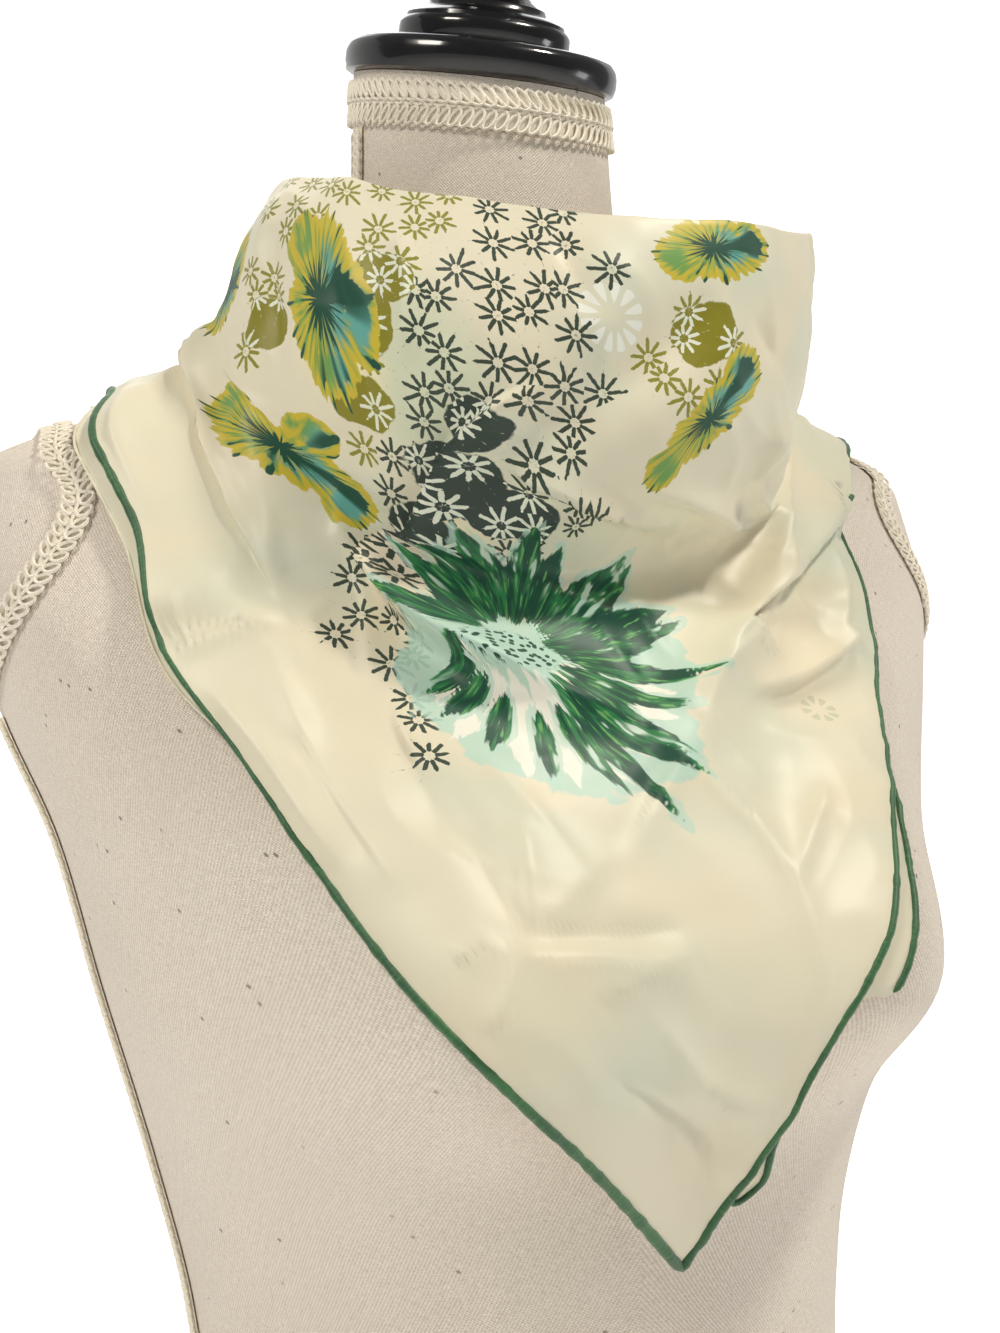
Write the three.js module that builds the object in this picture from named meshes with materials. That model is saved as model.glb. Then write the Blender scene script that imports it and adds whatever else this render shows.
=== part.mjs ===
import * as THREE from "three";

// A square silk scarf, folded corner to corner into a triangle and tied at the nape of a dress form.
// The folded edge stands round the neck as a loose cowl and the point hangs on the chest.
// Millimetres, +Z up, the chest faces -Y, and the origin is under the middle of the base board.

// Driving sizes
const foldedWall = 2.6;
const singleWall = 1.2;
const layerGap = 0.9;
const seamGap = 0.3;
const hemRoll = 3.2;
const hemClear = 0.8;
const hemLift = 0.5;
const formGap = 2.5;
const frontEase = 4;
const boardThickness = 9;
const boardInset = 6;
const gimpWidth = 10;
const gimpThickness = 2;
const gimpLift = 0.9;
const heartHeight = 500;
const unrolledRadius = 115;
const standForward = 11.5;

// Where one stretch of the scarf ends and the next begins, in degrees round from the chest
const shoulderSeam = 88;
const knotSide = 163;

const degree = Math.PI / 180;

// Turns rows of numbers into rows of named columns, each with the slope of the curve through it
function namedRows(columns, rows) {
  const named = rows.map((row) => Object.fromEntries(columns.map((name, i) => [name, row[i]])));
  const key = columns[0];
  const rise = (name, i) => (named[i + 1][name] - named[i][name]) / (named[i + 1][key] - named[i][key]);
  const last = rows.length - 1;
  return named.map((row, i) => {
    const slope = {};
    for (const name of columns) {
      if (i === 0) slope[name] = rise(name, 0);
      else if (i === last) slope[name] = rise(name, last - 1);
      else {
        const before = rise(name, i - 1);
        const after = rise(name, i);
        slope[name] = before * after > 0 ? (2 * before * after) / (before + after) : 0;
      }
    }
    return { ...row, slope };
  });
}

// Reads one table between its rows, along a smooth curve that never passes a row's high or low
function between(rows, key, at) {
  const last = rows.length - 1;
  const x = Math.min(Math.max(at, rows[0][key]), rows[last][key]);
  let i = 0;
  while (i < last - 1 && x > rows[i + 1][key]) i += 1;
  const from = rows[i];
  const to = rows[i + 1];
  const step = to[key] - from[key];
  const t = (x - from[key]) / step;
  const toShare = t * t * (3 - 2 * t);
  const fromSlope = t * (1 - t) * (1 - t) * step;
  const toSlope = -t * t * (1 - t) * step;
  const read = {};
  for (const name of Object.keys(from.slope)) {
    read[name] = from[name] * (1 - toShare) + to[name] * toShare
      + from.slope[name] * fromSlope + to.slope[name] * toSlope;
  }
  return read;
}

// The dress form: a rounded section at each height, deeper in front at the bust.
// square is the exponent of the section's outline, and lean is its rise for each millimetre to the back.
const formRows = namedRows(
  ["height", "halfWidth", "front", "back", "centre", "square", "lean"],
  [
    [0, 166, 117, 127, 4, 2.3, 0],
    [60, 171, 117, 134, 4, 2.3, 0],
    [110, 162, 112, 123, 2, 2.3, 0],
    [165, 135, 103, 99, 0, 2.2, 0],
    [205, 120, 95, 86, 0, 2.2, 0],
    [245, 124, 95, 89, 0, 2.2, 0],
    [300, 136, 99, 97, 0, 2.3, 0],
    [360, 152, 106, 106, 0, 2.4, 0],
    [409, 164, 106, 110, 2, 2.5, 0],
    [453, 181, 95, 108, 4, 2.4, 0],
    [497, 193, 78, 95, 8, 2.3, 0],
    [532, 190, 63, 80, 10, 2.2, 0],
    [556, 144, 52, 66, 9, 2, 0],
    [576, 101, 52, 62, 6, 2, 0],
    [593, 80, 52, 58, 2, 2, 0],
    [613, 60, 50, 54, -3, 2, 0.22],
    [641, 50, 47, 48, -2, 2, 0.34],
    [687, 48.5, 46, 46, -2, 2, 0.37],
  ]);
const neckTop = formRows[formRows.length - 1];

// The bust on the form, and the softer swell that the cloth makes where it bridges and hangs from it
const bust = { out: 55, aside: 76, height: 361, spread: 52, above: 62, below: 44, bridge: 0 };
const hungBust = { ...bust, below: 120, bridge: 0.65 };

function swell(shape, x, height, forward) {
  if (forward <= 0) return 0;
  let side = Math.exp(-(((Math.abs(x) - shape.aside) / shape.spread) ** 2));
  if (Math.abs(x) < shape.aside) side += shape.bridge * (1 - side);
  const reach = height > shape.height ? shape.above : shape.below;
  const rise = Math.exp(-(((height - shape.height) / reach) ** 2));
  return shape.out * side * rise * Math.sqrt(forward);
}

// How far out a point lies in its section: 1 on the surface. grow is a gap added all round,
// and on the shoulders, where the surface turns up, it is added upwards too.
const shoulders = { start: 480, depth: 60 };
function sizeAt(shape, grow, x, y, height) {
  const lift = grow * Math.min(Math.max((height - shoulders.start) / shoulders.depth, 0), 1);
  const row = between(formRows, "height", height - lift);
  const back = y - row.centre;
  const depth = (back < 0 ? row.front : row.back) + grow;
  const wide = row.halfWidth + grow;
  const turn = Math.atan2(back / depth, x / wide);
  const deep = depth + swell(shape, x, height, -Math.sin(turn));
  return (Math.abs(x / wide) ** row.square + Math.abs(back / deep) ** row.square) ** (1 / row.square);
}

// The point of the canvas at an angle round the section (0 at the left side, -90 at the front)
function canvasPoint(angle, height, grow = 0) {
  const row = between(formRows, "height", height);
  const c = Math.cos(angle);
  const s = Math.sin(angle);
  const power = 2 / row.square;
  const x = (row.halfWidth + grow) * Math.sign(c) * Math.abs(c) ** power;
  const depth = (s < 0 ? row.front : row.back) + grow;
  const y = depth * Math.sign(s) * Math.abs(s) ** power - swell(bust, x, height, -s);
  return new THREE.Vector3(x, row.centre + y, height + row.lean * y);
}

// The outward direction of the form's surface at a point
function outward(point) {
  const step = 0.5;
  const size = (dx, dy, dz) => sizeAt(bust, 0, point.x + dx, point.y + dy, point.z + dz);
  return new THREE.Vector3(
    size(step, 0, 0) - size(-step, 0, 0),
    size(0, step, 0) - size(0, -step, 0),
    size(0, 0, step) - size(0, 0, -step)).normalize();
}

// The distance from the heart of the chest out to a shape, along a ray, found by halving
const raySearch = { near: 20, far: 420, halvings: 18 };
function rayLength(shape, grow, azimuth, elevation) {
  const across = Math.cos(elevation * degree);
  const x = Math.sin(azimuth * degree) * across;
  const y = -Math.cos(azimuth * degree) * across;
  const up = Math.sin(elevation * degree);
  let { near, far } = raySearch;
  for (let i = 0; i < raySearch.halvings; i += 1) {
    const middle = (near + far) / 2;
    if (sizeAt(shape, grow, x * middle, y * middle, heartHeight + up * middle) < 1) near = middle;
    else far = middle;
  }
  return (near + far) / 2;
}

// The standing cowl: its folded edge, its widest part and its foot, by azimuth from the chest
// (positive to the form's left). Radii are from the neck's axis.
const cowlRows = namedRows(
  ["azimuth", "topRadius", "topHeight", "bulgeRadius", "bulgeHeight", "footRadius", "footHeight"],
  [
    [-180, 58, 630, 66, 606, 70, 585],
    [-150, 66, 638, 80, 610, 86, 580],
    [-120, 76, 644, 95, 606, 98, 574],
    [-90, 84, 643, 107, 592, 104, 575],
    [-60, 91, 625, 112, 586, 106, 548],
    [-30, 104, 607, 118, 576, 106, 518],
    [0, 115, 597, 122, 570, 104, 515],
    [30, 121, 603, 123, 572, 104, 520],
    [60, 121, 619, 115, 580, 101, 540],
    [90, 108, 634, 103, 598, 98, 570],
    [120, 88, 640, 94, 608, 95, 576],
    [150, 70, 636, 80, 610, 86, 580],
    [180, 58, 630, 66, 606, 70, 585],
  ]);
const cowlBlend = 14;
const footSpread = 1.1;
const widestFlare = 30;

// How far the cloth reaches down from the folded edge, and how much further the under layer shows,
// from the knot forward to the scarf's point on each side of it
const pointAzimuth = -2;
const reachColumns = ["azimuth", "reach", "underMore"];
const rightReachRows = namedRows(reachColumns, [
  [-163, 34, 0],
  [-150, 84, 0],
  [-135, 112, 0],
  [-112, 112, 0],
  [-91, 104, 9],
  [-78, 126, 9],
  [-71, 145, 9],
  [-64, 179, 6],
  [-52, 210, 0],
  [-42, 238, 0],
  [-28, 281, 0],
  [-14, 322, 0],
  [pointAzimuth, 352, 0],
]);
const leftReachRows = namedRows(reachColumns, [
  [pointAzimuth, 352, 0],
  [3, 332, 0],
  [7, 316, 0],
  [13, 280, 4],
  [20, 258, 16],
  [29, 232, 12],
  [42, 199, 3],
  [53, 174, 0],
  [60, 145, 0],
  [64, 116, 0],
  [76, 104, 0],
  [91, 104, 0],
  [112, 114, 0],
  [135, 112, 0],
  [150, 84, 0],
  [163, 34, 0],
]);

// The largest folds: each is a ridge (lift above 0) or a trough, from one place on the cloth to another.
// A place is an azimuth and a length down the cloth, and above and below are the fold's half widths.
const foldColumns = ["azimuth", "down", "endAzimuth", "endDown", "above", "below", "lift"];
const folds = [
  [-46, 131, -24, 74, 15, 11, -8],
  [-24, 74, 14, 20, 15, 12, -8],
  [-50, 118, -29, 150, 18, 7, 8],
  [-29, 150, -6, 168, 18, 10, 5],
  [-78, 84, -64, 112, 12, 14, -7],
  [-64, 112, -50, 160, 14, 14, -8],
  [-50, 160, -38, 196, 16, 12, -5],
  [-66, 62, -50, 118, 17, 16, 5],
  [-50, 118, -40, 176, 16, 14, 5],
  [16, 117, 32, 97, 8, 10, 5],
  [30, 66, 51, 104, 9, 9, 5],
  [51, 104, 33, 138, 8, 10, 6],
  [64, 86, 37, 134, 8, 9, 5],
  [72, 104, 33, 142, 16, 7, 6],
  [33, 142, -4, 202, 11, 13, 5],
  [24, 172, 50, 164, 8, 9, -4],
  [-100, 40, -128, 84, 14, 14, 5],
  [-118, 26, -150, 62, 11, 11, 5],
  [-108, 70, -140, 96, 11, 13, -5],
  [-134, 24, -160, 30, 8, 8, 4],
  [104, 36, 130, 88, 14, 13, 5],
  [120, 28, 148, 66, 11, 12, -5],
  [112, 74, 138, 94, 12, 12, 4],
  [136, 22, 160, 28, 8, 8, 4],
].map((row) => Object.fromEntries(foldColumns.map((name, i) => [name, row[i]])));
const foldEnd = 1.4;

function foldLift(azimuth, down) {
  let lift = 0;
  for (const fold of folds) {
    const runX = (fold.endAzimuth - fold.azimuth) * degree * unrolledRadius;
    const runY = fold.endDown - fold.down;
    const x = (azimuth - fold.azimuth) * degree * unrolledRadius;
    const y = down - fold.down;
    const run = Math.hypot(runX, runY);
    const along = (x * runX + y * runY) / run;
    const aside = ((x * runY - y * runX) / run) * Math.sign(runX);
    const past = Math.max(-along, along - run, 0);
    const half = aside > 0 ? fold.above : fold.below;
    const fade = (aside / half) ** 2 + (past / (foldEnd * half)) ** 2;
    lift += fold.lift * Math.exp(-fade);
  }
  return lift;
}

// The knot at the nape, as oval sections from side to side: two lobes and the wrap between them
const knotRows = [
  { aside: -25, halfHeight: 6, halfDepth: 3.5 },
  { aside: -22, halfHeight: 12.5, halfDepth: 6.5 },
  { aside: -16, halfHeight: 16, halfDepth: 9 },
  { aside: -10.5, halfHeight: 13, halfDepth: 7.5 },
  { aside: -8.5, halfHeight: 17.5, halfDepth: 11 },
  { aside: 0, halfHeight: 19.5, halfDepth: 13 },
  { aside: 8.5, halfHeight: 17.5, halfDepth: 11 },
  { aside: 10.5, halfHeight: 13, halfDepth: 7.5 },
  { aside: 16, halfHeight: 16, halfDepth: 9 },
  { aside: 22, halfHeight: 12.5, halfDepth: 6.5 },
  { aside: 25, halfHeight: 6, halfDepth: 3.5 },
];
const knotPlace = { radius: 80.1, height: 613 };

// Each tied end of the scarf hangs from the knot to its corner: its half width by length down the tail
const tailRows = namedRows(
  ["down", "halfWidth"],
  [
    [0, 5.5],
    [18, 9],
    [38, 13],
    [58, 8],
    [72, 1.6],
  ]);
const tailAside = 7.5;
const tailPleat = { height: 2, waves: 1.6, width: 12, shift: 0.25, fade: 90, lift: 3.6 };
const tails = [
  { name: "left", hand: 1, slant: 17, start: 42.2 },
  { name: "right", hand: -1, slant: 24, start: 43.6 },
];

function toPolar(radius, height) {
  const rise = height - heartHeight;
  return { elevation: Math.atan2(rise, radius) / degree, length: Math.hypot(radius, rise) };
}

// The cowl's ray length: a curve through its edge, its bulge and its foot, and a straight fall below
function cowlLength(cowl, elevation) {
  const knots = [
    toPolar(cowl.topRadius, cowl.topHeight),
    toPolar(cowl.bulgeRadius, cowl.bulgeHeight),
    toPolar(cowl.footRadius, cowl.footHeight),
  ];
  const [edge, bulge, foot] = knots;
  if (elevation < foot.elevation) {
    const fall = (bulge.length - foot.length) / (bulge.elevation - foot.elevation);
    return foot.length + (elevation - foot.elevation) * fall * footSpread;
  }
  let length = 0;
  knots.forEach((knot) => {
    let share = 1;
    for (const other of knots) {
      if (other !== knot) share *= (elevation - other.elevation) / (knot.elevation - other.elevation);
    }
    length += knot.length * share;
  });
  return Math.min(length, edge.length + widestFlare);
}

// One column of the cloth, from the folded edge down. room is how far it could sink to the form.
const columns = new Map();
const columnRays = { lowest: -72, step: 0.75 };
function column(azimuth) {
  const key = azimuth.toFixed(3);
  if (columns.has(key)) return columns.get(key);
  const cowl = between(cowlRows, "azimuth", azimuth);
  const edge = toPolar(cowl.topRadius, cowl.topHeight);
  const ease = frontEase * Math.max(Math.cos(azimuth * degree), 0);
  const points = [];
  for (let elevation = edge.elevation; elevation > columnRays.lowest; elevation -= columnRays.step) {
    const body = rayLength(hungBust, formGap + ease, azimuth, elevation);
    const floor = rayLength(bust, formGap, azimuth, elevation);
    const neck = cowlLength(cowl, elevation);
    const length = (body + neck + Math.hypot(body - neck, cowlBlend)) / 2;
    const radius = length * Math.cos(elevation * degree);
    const height = heartHeight + length * Math.sin(elevation * degree);
    const before = points[points.length - 1];
    const down = before ? before.down + Math.hypot(radius - before.radius, height - before.height) : 0;
    points.push({ radius, height, down, room: length - floor });
  }
  columns.set(key, points);
  return points;
}

function onColumn(points, down) {
  let i = 0;
  while (i < points.length - 2 && down > points[i + 1].down) i += 1;
  const t = (down - points[i].down) / (points[i + 1].down - points[i].down);
  return {
    radius: points[i].radius + (points[i + 1].radius - points[i].radius) * t,
    height: points[i].height + (points[i + 1].height - points[i].height) * t,
    room: points[i].room + (points[i + 1].room - points[i].room) * t,
  };
}

// A trough grows shallower as it nears the form, so that it never cuts in
const usableRoom = 0.6;
const leastRoom = 0.1;
function settled(lift, room) {
  if (lift >= 0) return lift;
  const spare = Math.max(room * usableRoom, leastRoom);
  return -spare * (1 - Math.exp(lift / spare));
}

// A point of the cloth, lift millimetres out from its inner face and up millimetres back up its column
function clothPoint(azimuth, down, lift, up = 0) {
  const points = column(azimuth);
  const at = onColumn(points, down);
  const next = onColumn(points, down + 3);
  const run = Math.hypot(next.radius - at.radius, next.height - at.height);
  const upRadius = (at.radius - next.radius) / run;
  const upHeight = (at.height - next.height) / run;
  const outRadius = upHeight;
  const outHeight = -upRadius;
  const out = lift + settled(foldLift(azimuth, down), at.room);
  const radius = at.radius + outRadius * out + upRadius * up;
  const height = at.height + outHeight * out + upHeight * up;
  const turn = azimuth * degree;
  return new THREE.Vector3(radius * Math.sin(turn), -radius * Math.cos(turn), height);
}

// How far down a layer reaches at an azimuth, drawn in from its edge by inset across the edge
function layerReach(azimuth, under, inset) {
  const full = (at) => {
    const row = between(at < pointAzimuth ? rightReachRows : leftReachRows, "azimuth", at);
    return row.reach + (under ? row.underMore : 0);
  };
  const reach = full(azimuth);
  const radius = onColumn(column(azimuth), reach).radius;
  const steepest = Math.max(Math.abs(full(azimuth + 1) - reach), Math.abs(reach - full(azimuth - 1)));
  return reach - inset * Math.hypot(1, steepest / (degree * radius));
}

// Builds one closed mesh from its corner points and faces, turned to face out
function solid(points, faces) {
  let volume = 0;
  for (const [a, b, c] of faces) volume += points[a].dot(points[b].clone().cross(points[c]));
  const geometry = new THREE.BufferGeometry();
  geometry.setAttribute("position", new THREE.Float32BufferAttribute(points.flatMap((p) => p.toArray()), 3));
  geometry.setIndex(faces.flatMap(([a, b, c]) => (volume < 0 ? [a, c, b] : [a, b, c])));
  geometry.computeVertexNormals();
  return geometry;
}

// Joins rings of points into a solid, closed by a flat fan at each end or looped back to its start
function loft(rings, looped = false) {
  const around = rings[0].length;
  const points = rings.flat();
  const faces = [];
  const spans = looped ? rings.length : rings.length - 1;
  for (let i = 0; i < spans; i += 1) {
    for (let j = 0; j < around; j += 1) {
      const a = i * around + j;
      const b = i * around + ((j + 1) % around);
      const c = ((i + 1) % rings.length) * around + j;
      const d = ((i + 1) % rings.length) * around + ((j + 1) % around);
      faces.push([a, b, d], [a, d, c]);
    }
  }
  if (!looped) {
    for (const end of [0, rings.length - 1]) {
      const centre = new THREE.Vector3();
      rings[end].forEach((p) => centre.addScaledVector(p, 1 / around));
      points.push(centre);
      const hub = points.length - 1;
      for (let j = 0; j < around; j += 1) {
        const a = end * around + j;
        const b = end * around + ((j + 1) % around);
        faces.push(end === 0 ? [hub, b, a] : [hub, a, b]);
      }
    }
  }
  return solid(points, faces);
}

// A wall between an outer and an inner grid of points, closed along its four edges
function wall(outer, inner) {
  const rows = outer.length;
  const across = outer[0].length;
  const points = [...outer.flat(), ...inner.flat()];
  const faces = [];
  const far = rows * across;
  const quad = (a, b, c, d) => faces.push([a, b, c], [a, c, d]);
  for (let i = 0; i < rows - 1; i += 1) {
    for (let j = 0; j < across - 1; j += 1) {
      const a = i * across + j;
      quad(a, a + 1, a + across + 1, a + across);
      quad(far + a, far + a + across, far + a + across + 1, far + a + 1);
    }
  }
  for (let j = 0; j < across - 1; j += 1) {
    quad(j + 1, j, far + j, far + j + 1);
    const a = (rows - 1) * across + j;
    quad(a, a + 1, far + a + 1, far + a);
  }
  for (let i = 0; i < rows - 1; i += 1) {
    const a = i * across;
    quad(a, a + across, far + a + across, far + a);
    const b = a + across - 1;
    quad(b + across, b, far + b, far + b + across);
  }
  return solid(points, faces);
}

const canvas = { color: 0xe1d5c8, roughness: 0.95, metalness: 0 };
const braid = { color: 0xece2d0, roughness: 0.8, metalness: 0 };
const silk = { color: 0xf3ead2, roughness: 0.5, metalness: 0 };
const greenRoll = { color: 0x2f7045, roughness: 0.55, metalness: 0 };
const blackWood = { color: 0x141312, roughness: 0.2, metalness: 0 };

const part = new THREE.Group();
const stand = new THREE.Group();
stand.position.set(0, standForward, 0);
part.add(stand);

function add(name, geometry, finish, group = stand) {
  const mesh = new THREE.Mesh(geometry, new THREE.MeshStandardMaterial(finish));
  mesh.name = name;
  group.add(mesh);
  return mesh;
}

// The canvas-covered torso, from the hips to the top of the neck
function makeTorso() {
  const around = 40;
  const bottom = boardThickness + seamGap;
  const shoulderTip = 532;
  const steps = 30;
  const heights = [];
  for (let i = 0; i <= steps; i += 1) heights.push(bottom + ((shoulderTip - bottom) * i) / steps);
  heights.push(545, 556, 566, 576, 585, 593, 603, 613, 627, 641, 664, neckTop.height);
  const rings = heights.map((height) => Array.from({ length: around }, (_, j) =>
    canvasPoint((2 * Math.PI * j) / around, height)));
  add("form_torso", loft(rings), canvas);
}

// The flat board that closes the hips and stands on the floor
function makeBoard() {
  const around = 40;
  const ring = (height) => Array.from({ length: around }, (_, j) => {
    const p = canvasPoint((2 * Math.PI * j) / around, boardThickness, -boardInset);
    return new THREE.Vector3(p.x, p.y, height);
  });
  add("form_base_board", loft([ring(0), ring(boardThickness)]), blackWood);
}

// The turned cap on the neck, tipped with the top of the neck
function makeCap() {
  const tip = Math.atan(neckTop.lean);
  const cap = new THREE.Group();
  cap.position.set(0, neckTop.centre, neckTop.height + seamGap / Math.cos(tip));
  cap.rotation.x = tip;
  stand.add(cap);
  const flange = [[0, 0], [50, 0], [52, 2], [52.5, 6], [51.5, 10.5], [49, 12.5], [0, 12.5]];
  const finial = [
    [0, 0], [31, 0], [33, 2.5], [33, 7], [30, 11], [23, 14], [16, 19],
    [14, 25], [18, 32], [22, 39], [21.5, 46], [16, 52], [7, 55], [0, 55.5],
  ];
  const turned = (profile, name, height) => {
    const shape = new THREE.LatheGeometry(profile.map(([r, h]) => new THREE.Vector2(r, h)), 28);
    const mesh = add(name, shape, blackWood, cap);
    mesh.rotation.x = Math.PI / 2;
    mesh.position.z = height;
  };
  turned(flange, "neck_cap_flange", 0);
  turned(finial, "neck_cap_finial", 12.5 + seamGap);
}

// A braid strip: a flat section at each station, lying on the canvas
function strip(stations, looped = false) {
  const rings = stations.map(({ point, side }) => {
    const out = outward(point);
    const across = side.clone().addScaledVector(out, -side.dot(out)).normalize();
    return [[-1, 0], [1, 0], [0.8, 1], [-0.8, 1]].map(([s, h]) => point.clone()
      .addScaledVector(across, (s * gimpWidth) / 2)
      .addScaledVector(out, gimpLift + h * gimpThickness));
  });
  return loft(rings, looped);
}

function makeGimp() {
  const toBack = new THREE.Vector3(0, 1, 0);
  const band = { low: 667, high: 683 };
  const around = 40;
  const ringAt = (height, grow) => Array.from({ length: around }, (_, j) =>
    canvasPoint((2 * Math.PI * j) / around, height, grow));
  const low = [ringAt(band.low, gimpLift), ringAt(band.low, gimpLift + gimpThickness)];
  const high = [ringAt(band.high, gimpLift + gimpThickness), ringAt(band.high, gimpLift)];
  const bandRings = low[0].map((_, j) => [low[0][j], low[1][j], high[0][j], high[1][j]]);
  add("gimp_neck_band", loft(bandRings, true), braid);
  const armhole = { centre: 10, height: 505, halfDepth: 46, halfHeight: 44 };
  const seams = [
    { seam: "shoulder", low: 555, high: 664, steps: 22 },
    { seam: "side", low: 12, high: 451, steps: 24 },
  ];
  for (const [side, name] of [[1, "left"], [-1, "right"]]) {
    const angle = side > 0 ? 0 : Math.PI;
    for (const { seam, low, high, steps } of seams) {
      const stations = Array.from({ length: steps + 1 }, (_, i) => (
        { point: canvasPoint(angle, low + ((high - low) * i) / steps), side: toBack }));
      add(`gimp_${seam}_${name}`, strip(stations), braid);
    }
    const loop = Array.from({ length: around }, (_, j) => {
      const turn = (2 * Math.PI * j) / around;
      const y = armhole.centre + armhole.halfDepth * Math.cos(turn);
      const height = armhole.height + armhole.halfHeight * Math.sin(turn);
      const row = between(formRows, "height", height);
      const depth = y < row.centre ? row.front : row.back;
      const share = 1 - Math.abs((y - row.centre) / depth) ** row.square;
      const point = new THREE.Vector3(side * row.halfWidth * share ** (1 / row.square), y, height);
      const radial = new THREE.Vector3(0, Math.cos(turn), Math.sin(turn));
      return { point, side: radial };
    });
    add(`gimp_armhole_${name}`, strip(loop, true), braid);
  }
}

// Azimuths from one end of a stretch to the other, closer together where step is smaller
function azimuths(from, to, step) {
  const count = Math.max(Math.round(Math.abs(to - from) / step), 1);
  return Array.from({ length: count + 1 }, (_, i) => from + ((to - from) * i) / count);
}

// The lengths down the cloth at which a column of the folded wall has its points
function wallDowns(azimuth, rows) {
  const end = layerReach(azimuth, false, hemRoll + hemClear);
  return Array.from({ length: rows + 1 }, (_, i) => (end * i) / rows);
}

// One stretch of the folded cloth: two layers in one wall, rounded over along the folded edge
function makeStretch(name, stations, rows) {
  const half = foldedWall / 2;
  const face = (side) => stations.map((azimuth) => {
    const rounding = [70, 35].map((turn) => clothPoint(azimuth, 0,
      half + side * half * Math.cos(turn * degree), half * Math.sin(turn * degree)));
    const plain = wallDowns(azimuth, rows).map((down) => clothPoint(azimuth, down, half + side * half));
    return [...rounding, ...plain];
  });
  add(name, wall(face(1), face(-1)), silk);
}

// A strip of the under layer that shows past the outer one, tucked under it by a few rows
function makeUnderStrip(name, stations, rows, tucked) {
  const face = (lift) => stations.map((azimuth) => {
    const downs = wallDowns(azimuth, rows).slice(-tucked);
    const end = layerReach(azimuth, true, hemRoll + hemClear);
    return [...downs, end].map((down) => clothPoint(azimuth, down, lift));
  });
  add(name, wall(face(-layerGap), face(-layerGap - singleWall)), silk);
}

// A round roll of cloth through a row of points
function addRoll(name, path) {
  const section = new THREE.Shape();
  const sides = 6;
  for (let i = 0; i < sides; i += 1) {
    const turn = (2 * Math.PI * i) / sides;
    const x = (Math.cos(turn) * hemRoll) / 2;
    const y = (Math.sin(turn) * hemRoll) / 2;
    if (i === 0) section.moveTo(x, y);
    else section.lineTo(x, y);
  }
  const curve = new THREE.CatmullRomCurve3(path, false, "centripetal");
  const steps = Math.round(path.length * 1.6);
  const along = { steps, extrudePath: curve, bevelEnabled: false };
  add(name, new THREE.ExtrudeGeometry(section, along), greenRoll);
}

// The rolled hem along one layer of one stretch
function makeHem(name, stations, under) {
  const middle = under ? -layerGap - singleWall / 2 : foldedWall / 2 + hemLift;
  addRoll(name, stations.map((azimuth) =>
    clothPoint(azimuth, layerReach(azimuth, under, hemRoll / 2), middle)));
}

// Three stretches of folded cloth, the two strips of under layer that show, and a rolled hem on each
function makeScarf() {
  const seamTurn = 0.35;
  const hemToKnot = 3;
  const frontRows = 29;
  const backRows = 10;
  const front = [
    ...azimuths(-shoulderSeam, pointAzimuth, 4.2),
    ...azimuths(pointAzimuth, shoulderSeam, 4.2).slice(1),
  ];
  const stretches = [
    { name: "front", stations: front, rows: frontRows },
    { name: "back_right", stations: azimuths(-knotSide, -shoulderSeam - seamTurn, 5), rows: backRows },
    { name: "back_left", stations: azimuths(shoulderSeam + seamTurn, knotSide, 5), rows: backRows },
  ];
  for (const { name, stations, rows } of stretches) {
    makeStretch(`scarf_${name}`, stations, rows);
    makeHem(`hem_${name}`, stations.filter((azimuth) => Math.abs(azimuth) < knotSide - hemToKnot), false);
  }
  const strips = [
    { name: "right_shoulder", from: -86, to: -61 },
    { name: "left_chest", from: 13, to: 38 },
  ];
  for (const { name, from, to } of strips) {
    const stations = front.filter((azimuth) => azimuth >= from && azimuth <= to);
    makeUnderStrip(`under_${name}`, stations, frontRows, 3);
    makeHem(`hem_under_${name}`, stations, true);
  }
}

function makeKnot() {
  const around = 16;
  const rings = knotRows.map(({ aside, halfHeight, halfDepth }) => Array.from({ length: around }, (_, j) => {
    const turn = (2 * Math.PI * j) / around;
    const y = knotPlace.radius + halfDepth * Math.cos(turn);
    return new THREE.Vector3(aside, y, knotPlace.height + halfHeight * Math.sin(turn));
  }));
  add("knot", loft(rings), silk);
}

// A point of a tail, down millimetres along it and aside millimetres from its middle line
function tailPoint({ hand, slant, start }, down, aside, lift) {
  const lean = slant * degree;
  const x = tailAside + down * Math.sin(lean) + aside * Math.cos(lean);
  const y = start + down * Math.cos(lean) - aside * Math.sin(lean);
  const radius = onColumn(column(180), y).radius;
  const wave = 1 + Math.sin(Math.PI * tailPleat.waves * (aside / tailPleat.width + tailPleat.shift));
  const out = tailPleat.lift + tailPleat.height * wave * (1 - down / tailPleat.fade) + lift;
  return clothPoint(hand * (180 - x / radius / degree), y, out);
}

function makeTails() {
  const across = 6;
  const steps = 10;
  const length = tailRows[tailRows.length - 1].down;
  for (const tail of tails) {
    const downs = Array.from({ length: steps + 1 }, (_, i) => (length * i) / steps);
    const face = (lift) => downs.map((down) => {
      const { halfWidth } = between(tailRows, "down", down);
      return Array.from({ length: across + 1 }, (_, j) =>
        tailPoint(tail, down, halfWidth * ((2 * j) / across - 1), lift));
    });
    add(`tail_${tail.name}`, wall(face(foldedWall), face(0)), silk);
    const path = downs.slice(1).map((down) => {
      const edge = between(tailRows, "down", down).halfWidth;
      return tailPoint(tail, down, edge + hemRoll / 2 + seamGap, foldedWall / 2);
    });
    addRoll(`hem_tail_${tail.name}`, path);
  }
}

makeTorso();
makeBoard();
makeCap();
makeGimp();
makeScarf();
makeKnot();
makeTails();

export default part;
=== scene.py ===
import math
import bmesh
import bpy
import numpy as np
from mathutils import Matrix, Vector, noise


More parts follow.
